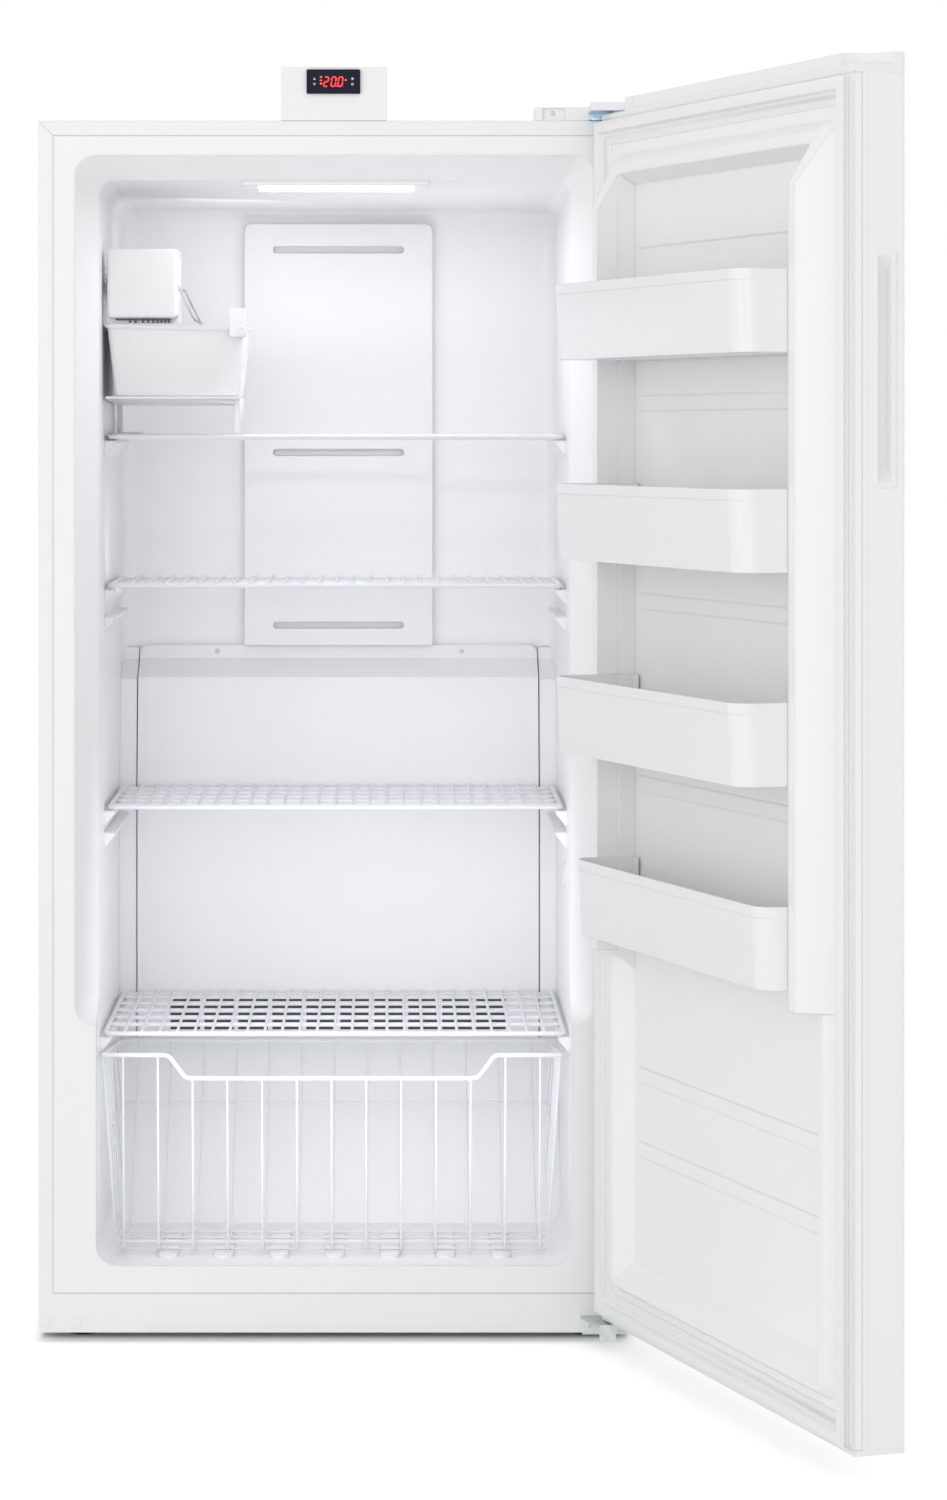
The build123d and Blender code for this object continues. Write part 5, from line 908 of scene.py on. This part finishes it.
# Pairs of distance from the door's edge and height above its lining, once round the section.
gasket_section = [
    (38.0, 0.1), (38.0, 1.8), (36.5, 3.2), (33.0, 3.8), (30.0, 3.2), (27.5, 4.8), (26.5, 8.0),
    (24.0, 9.4), (21.5, 8.4), (20.6, 10.5), (20.3, 15.0), (19.2, 16.4), (11.5, 16.5), (9.0, 15.9),
    (5.2, 14.8), (4.2, 13.6), (4.6, 12.2), (7.0, 11.3), (7.4, 9.7), (5.4, 8.4), (5.0, 6.9), (7.2, 5.6),
    (7.6, 3.6), (6.0, 2.2), (6.2, 0.1),
]
door_width, door_foot, door_head = 850.0, 47.5, 1752.0
gasket_corners = [
    (0, door_foot, 1, 1),
    (door_width, door_foot, -1, 1),
    (door_width, door_head, -1, -1),
    (0, door_head, 1, -1),
]
gasket_points = [
    on_door(u + du * edge, high, z + dz * edge)
    for u, z, du, dz in gasket_corners
    for edge, high in gasket_section
]
gasket_faces = []
ring_size = len(gasket_section)
for corner in range(4):
    here, there = corner * ring_size, (corner + 1) % 4 * ring_size
    for k in range(ring_size):
        after = (k + 1) % ring_size
        gasket_faces.append((here + k, here + after, there + after, there + k))
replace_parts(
    solid_piece("bellows_gasket", gasket_points, gasket_faces, soft_vinyl, "door", "seal_rubber", smooth=50),
    "door_gasket",
)


# Handle. A finger pocket moulded in white, snapped into a slot in the door's free edge: a raised frame
# round a shallow well whose ends and sides slope.
pocket_low, pocket_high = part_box("handle_pocket")
pocket_foot, pocket_head = pocket_low.z * 1000, pocket_high.z * 1000
pocket_outer, pocket_inner = -58.3, -25.8


def pocket_ring(above, inset, end_inset, radius):
    """The pocket's outline at one height above the door's edge."""
    corners = rectangle(
        pocket_outer + inset, pocket_inner - inset, pocket_foot + end_inset, pocket_head - end_inset
    )
    return [on_door(door_width + above, v, z) for v, z in rounded(corners, (radius,) * 4)]


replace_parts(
    solid_piece(
        "finger_pocket",
        *ring_loft(
            [
                pocket_ring(-1.0, 0.0, 0.0, 6.0),
                pocket_ring(0.7, 0.0, 0.0, 6.0),
                pocket_ring(1.2, 0.6, 0.6, 5.6),
                pocket_ring(1.2, 5.6, 6.0, 4.0),
                pocket_ring(0.4, 6.4, 7.0, 3.6),
                pocket_ring(-9.0, 8.0, 18.0, 3.0),
                pocket_ring(-14.0, 9.5, 26.0, 2.5),
            ],
            close_start=False,
        ),
        moulded_white,
        "door",
        "white_plastic",
        smooth=40,
    ),
    "handle_pocket",
)


# Roof hinge's arm. A bent plate of blue zinc that fills the underside of the white hood and shows below
# its front edge; a short lug of it stands on the roof's front edge.
hood_low, hood_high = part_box("top_hinge_cover")
hood_wall, arm_left, arm_back, arm_underside, arm_thickness = 2.3, 367.4, -333.4, 1763.4, 0.8
arm_right, arm_front_edge = hood_high.x * 1000 - hood_wall, hood_low.y * 1000 + hood_wall
arm_plan = rectangle(arm_left, arm_right, arm_back, arm_front_edge)
arm_levels = (arm_underside, arm_underside + arm_thickness)
arm_plate = ring_loft([[(x, y, z) for x, y in arm_plan] for z in arm_levels])
arm_lug = plate(rectangle(366, 369.3, 1754.6, 1763.2), -333.6, -342.6)
solid_piece("roof_hinge_arm", *joined([arm_plate, arm_lug]), blue_zinc, "cabinet", "zinc_steel")


# Controller. A panel-mounted unit, clipped into the front of its box: a dark smooth face with four
# small rubber keys and a red display.
dark_face = skin_material(
    "dark smooth face", (0.006, 0.005, 0.022), (0.010, 0.009, 0.030),
    roughness=0.18, ripple_scale=300.0, ripple=0.03, spread=0.04, specular=0.1,
)
key_rubber = skin_material(
    "key rubber", (0.012, 0.011, 0.032), (0.02, 0.018, 0.045),
    roughness=0.5, ripple_scale=2000.0, ripple=0.1, spread=0.1, specular=0.15,
)
dress(dark_face, "control_module")
dress(key_rubber, "key_up", "key_down", "key_light", "key_set")


# Display and key marks. Red seven-part figures and small lamps show through the dark face; the marks
# are printed in pale grey on the rubber keys.
def glow_material(name, colour, dim, strength):
    """Light from a small lamp behind a window, a little uneven."""
    made = bpy.data.materials.new(name)
    made.use_nodes = True
    tree = made.node_tree
    shader = tree.nodes["Principled BSDF"]
    shader.inputs["Roughness"].default_value = 0.4
    shader.inputs["Emission Strength"].default_value = strength
    skin = add_node(
        tree, "ShaderNodeGroup", {"node_tree": even_skin}, Colour=(*colour, 1), Shade=(*dim, 1), Tone=0.5
    )
    tree.links.new(skin.outputs["Colour"], shader.inputs["Base Color"])
    tree.links.new(skin.outputs["Colour"], shader.inputs["Emission Color"])
    return made


face_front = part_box("control_module")[0].y * 1000
lamp_depth = (face_front + 0.05, face_front - 0.12)
figure_foot, figure_head, figure_half = 1801.7, 1816.9, 3.0
bar_width, bar_gap, lean = 1.9, 0.25, 0.132
bar_half = bar_width / 2


def figure_bar(ax, az, bx, bz, middle):
    """One pointed bar of a figure, leaning with the rest."""
    length = ((bx - ax) ** 2 + (bz - az) ** 2) ** 0.5
    dx, dz = (bx - ax) / length, (bz - az) / length
    start, end = bar_gap, length - bar_gap
    ends = [(start, 0), (start + bar_half, bar_half), (end - bar_half, bar_half), (end, 0)]
    ends += [(end - bar_half, -bar_half), (start + bar_half, -bar_half)]
    outline = []
    for along, off in ends:
        x, z = ax + dx * along - dz * off, az + dz * along + dx * off
        outline.append((middle + x + (z - (figure_foot + figure_head) / 2) * lean, z))
    return plate(outline, *lamp_depth)


def figure(lit, middle):
    """A seven-part figure; lit lists its burning bars, top first and round to the middle."""
    foot, head = figure_foot + bar_half, figure_head - bar_half
    centre = (foot + head) / 2
    left, right = -figure_half, figure_half
    bars = {
        "top": (left, head, right, head),
        "upper right": (right, head, right, centre),
        "lower right": (right, centre, right, foot),
        "foot": (left, foot, right, foot),
        "lower left": (left, foot, left, centre),
        "upper left": (left, centre, left, head),
        "middle": (left, centre, right, centre),
    }
    return [figure_bar(*bars[name], middle) for name in lit]


def small_block(x, z, width, height):
    """A small lamp's window, given by its middle and size."""
    return plate(rectangle(x - width / 2, x + width / 2, z - height / 2, z + height / 2), *lamp_depth)


two = ("top", "upper right", "middle", "lower left", "foot")
nought = ("top", "upper right", "lower right", "foot", "lower left", "upper left")
point = small_block(3.6, 1802.8, 1.6, 1.6)
solid_piece(
    "display_figures",
    *joined([*figure(two, -11.2), *figure(nought, -0.5), *figure(nought, 9.3), point]),
    glow_material("red figures", (1.0, 0.03, 0.03), (0.8, 0.02, 0.02), 1.3),
    "cabinet",
    "dark_plastic",
)
sign_windows = [
    (-18.7, 1815.9, 2.8, 2.4),
    (-18.7, 1811.2, 3.4, 1.4),
    (-18.7, 1806.6, 2.8, 2.4),
    (16.9, 1811.7, 2.4, 2.2),
]
solid_piece(
    "display_signs",
    *joined([small_block(*window) for window in sign_windows]),
    glow_material("orange signs", (1.0, 0.12, 0.02), (0.85, 0.07, 0.02), 1.1),
    "cabinet",
    "dark_plastic",
)
mark_grey = skin_material(
    "pale print", (0.85, 0.87, 0.92), (0.75, 0.77, 0.82),
    roughness=0.5, ripple_scale=900.0, ripple=0.05, specular=0.3,
)


def key_mark(name, outline_parts, body):
    """A printed mark in the middle of a key."""
    low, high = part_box(body.replace("_cap", ""))
    x, z = (low.x + high.x) * 500, (low.z + high.z) * 500
    print_back, print_front = low.y * 1000 + 0.03, low.y * 1000 - 0.06
    parts = [plate([(x + px, z + pz) for px, pz in part], print_back, print_front) for part in outline_parts]
    solid_piece(name, *joined(parts), mark_grey, body, "key_rubber")


def ring_sector(inner, outer, start, end):
    """A bent bar between two radii, as one outline."""
    steps = [radians(start + (end - start) * k / 10) for k in range(11)]
    outside = [(outer * cos(t), outer * sin(t)) for t in steps]
    return outside + [(inner * cos(t), inner * sin(t)) for t in reversed(steps)]


def short_ray(turn, start, end, half):
    """A short bar that points away from the middle."""
    c, n = cos(radians(turn)), sin(radians(turn))
    corners = ((start, -half), (end, -half), (end, half), (start, half))
    return [(r * c - side * n, r * n + side * c) for r, side in corners]


def arrow(up):
    """A triangle drawn as three strokes of equal width."""
    corners = [(-2.0, -1.6 * up), (2.0, -1.6 * up), (0.0, 1.9 * up)]
    inner = [(-1.05, -1.05 * up), (1.05, -1.05 * up), (0.0, 0.85 * up)]
    return [[corners[k], corners[(k + 1) % 3], inner[(k + 1) % 3], inner[k]] for k in range(3)]


bulb = [ring_sector(0.3, 1.25, 0, 180), ring_sector(0.3, 1.25, 180, 360)]
rays = [short_ray(turn, 1.2, 2.15, 0.3) for turn in range(0, 360, 60)]
key_mark("up_mark", arrow(1), "key_up_cap")
key_mark("down_mark", arrow(-1), "key_down_cap")
key_mark("light_mark", bulb + rays, "key_light_cap")
key_mark("power_mark", [ring_sector(1.25, 1.9, -240, 60), short_ray(90, 0.3, 2.1, 0.32)], "key_set_cap")
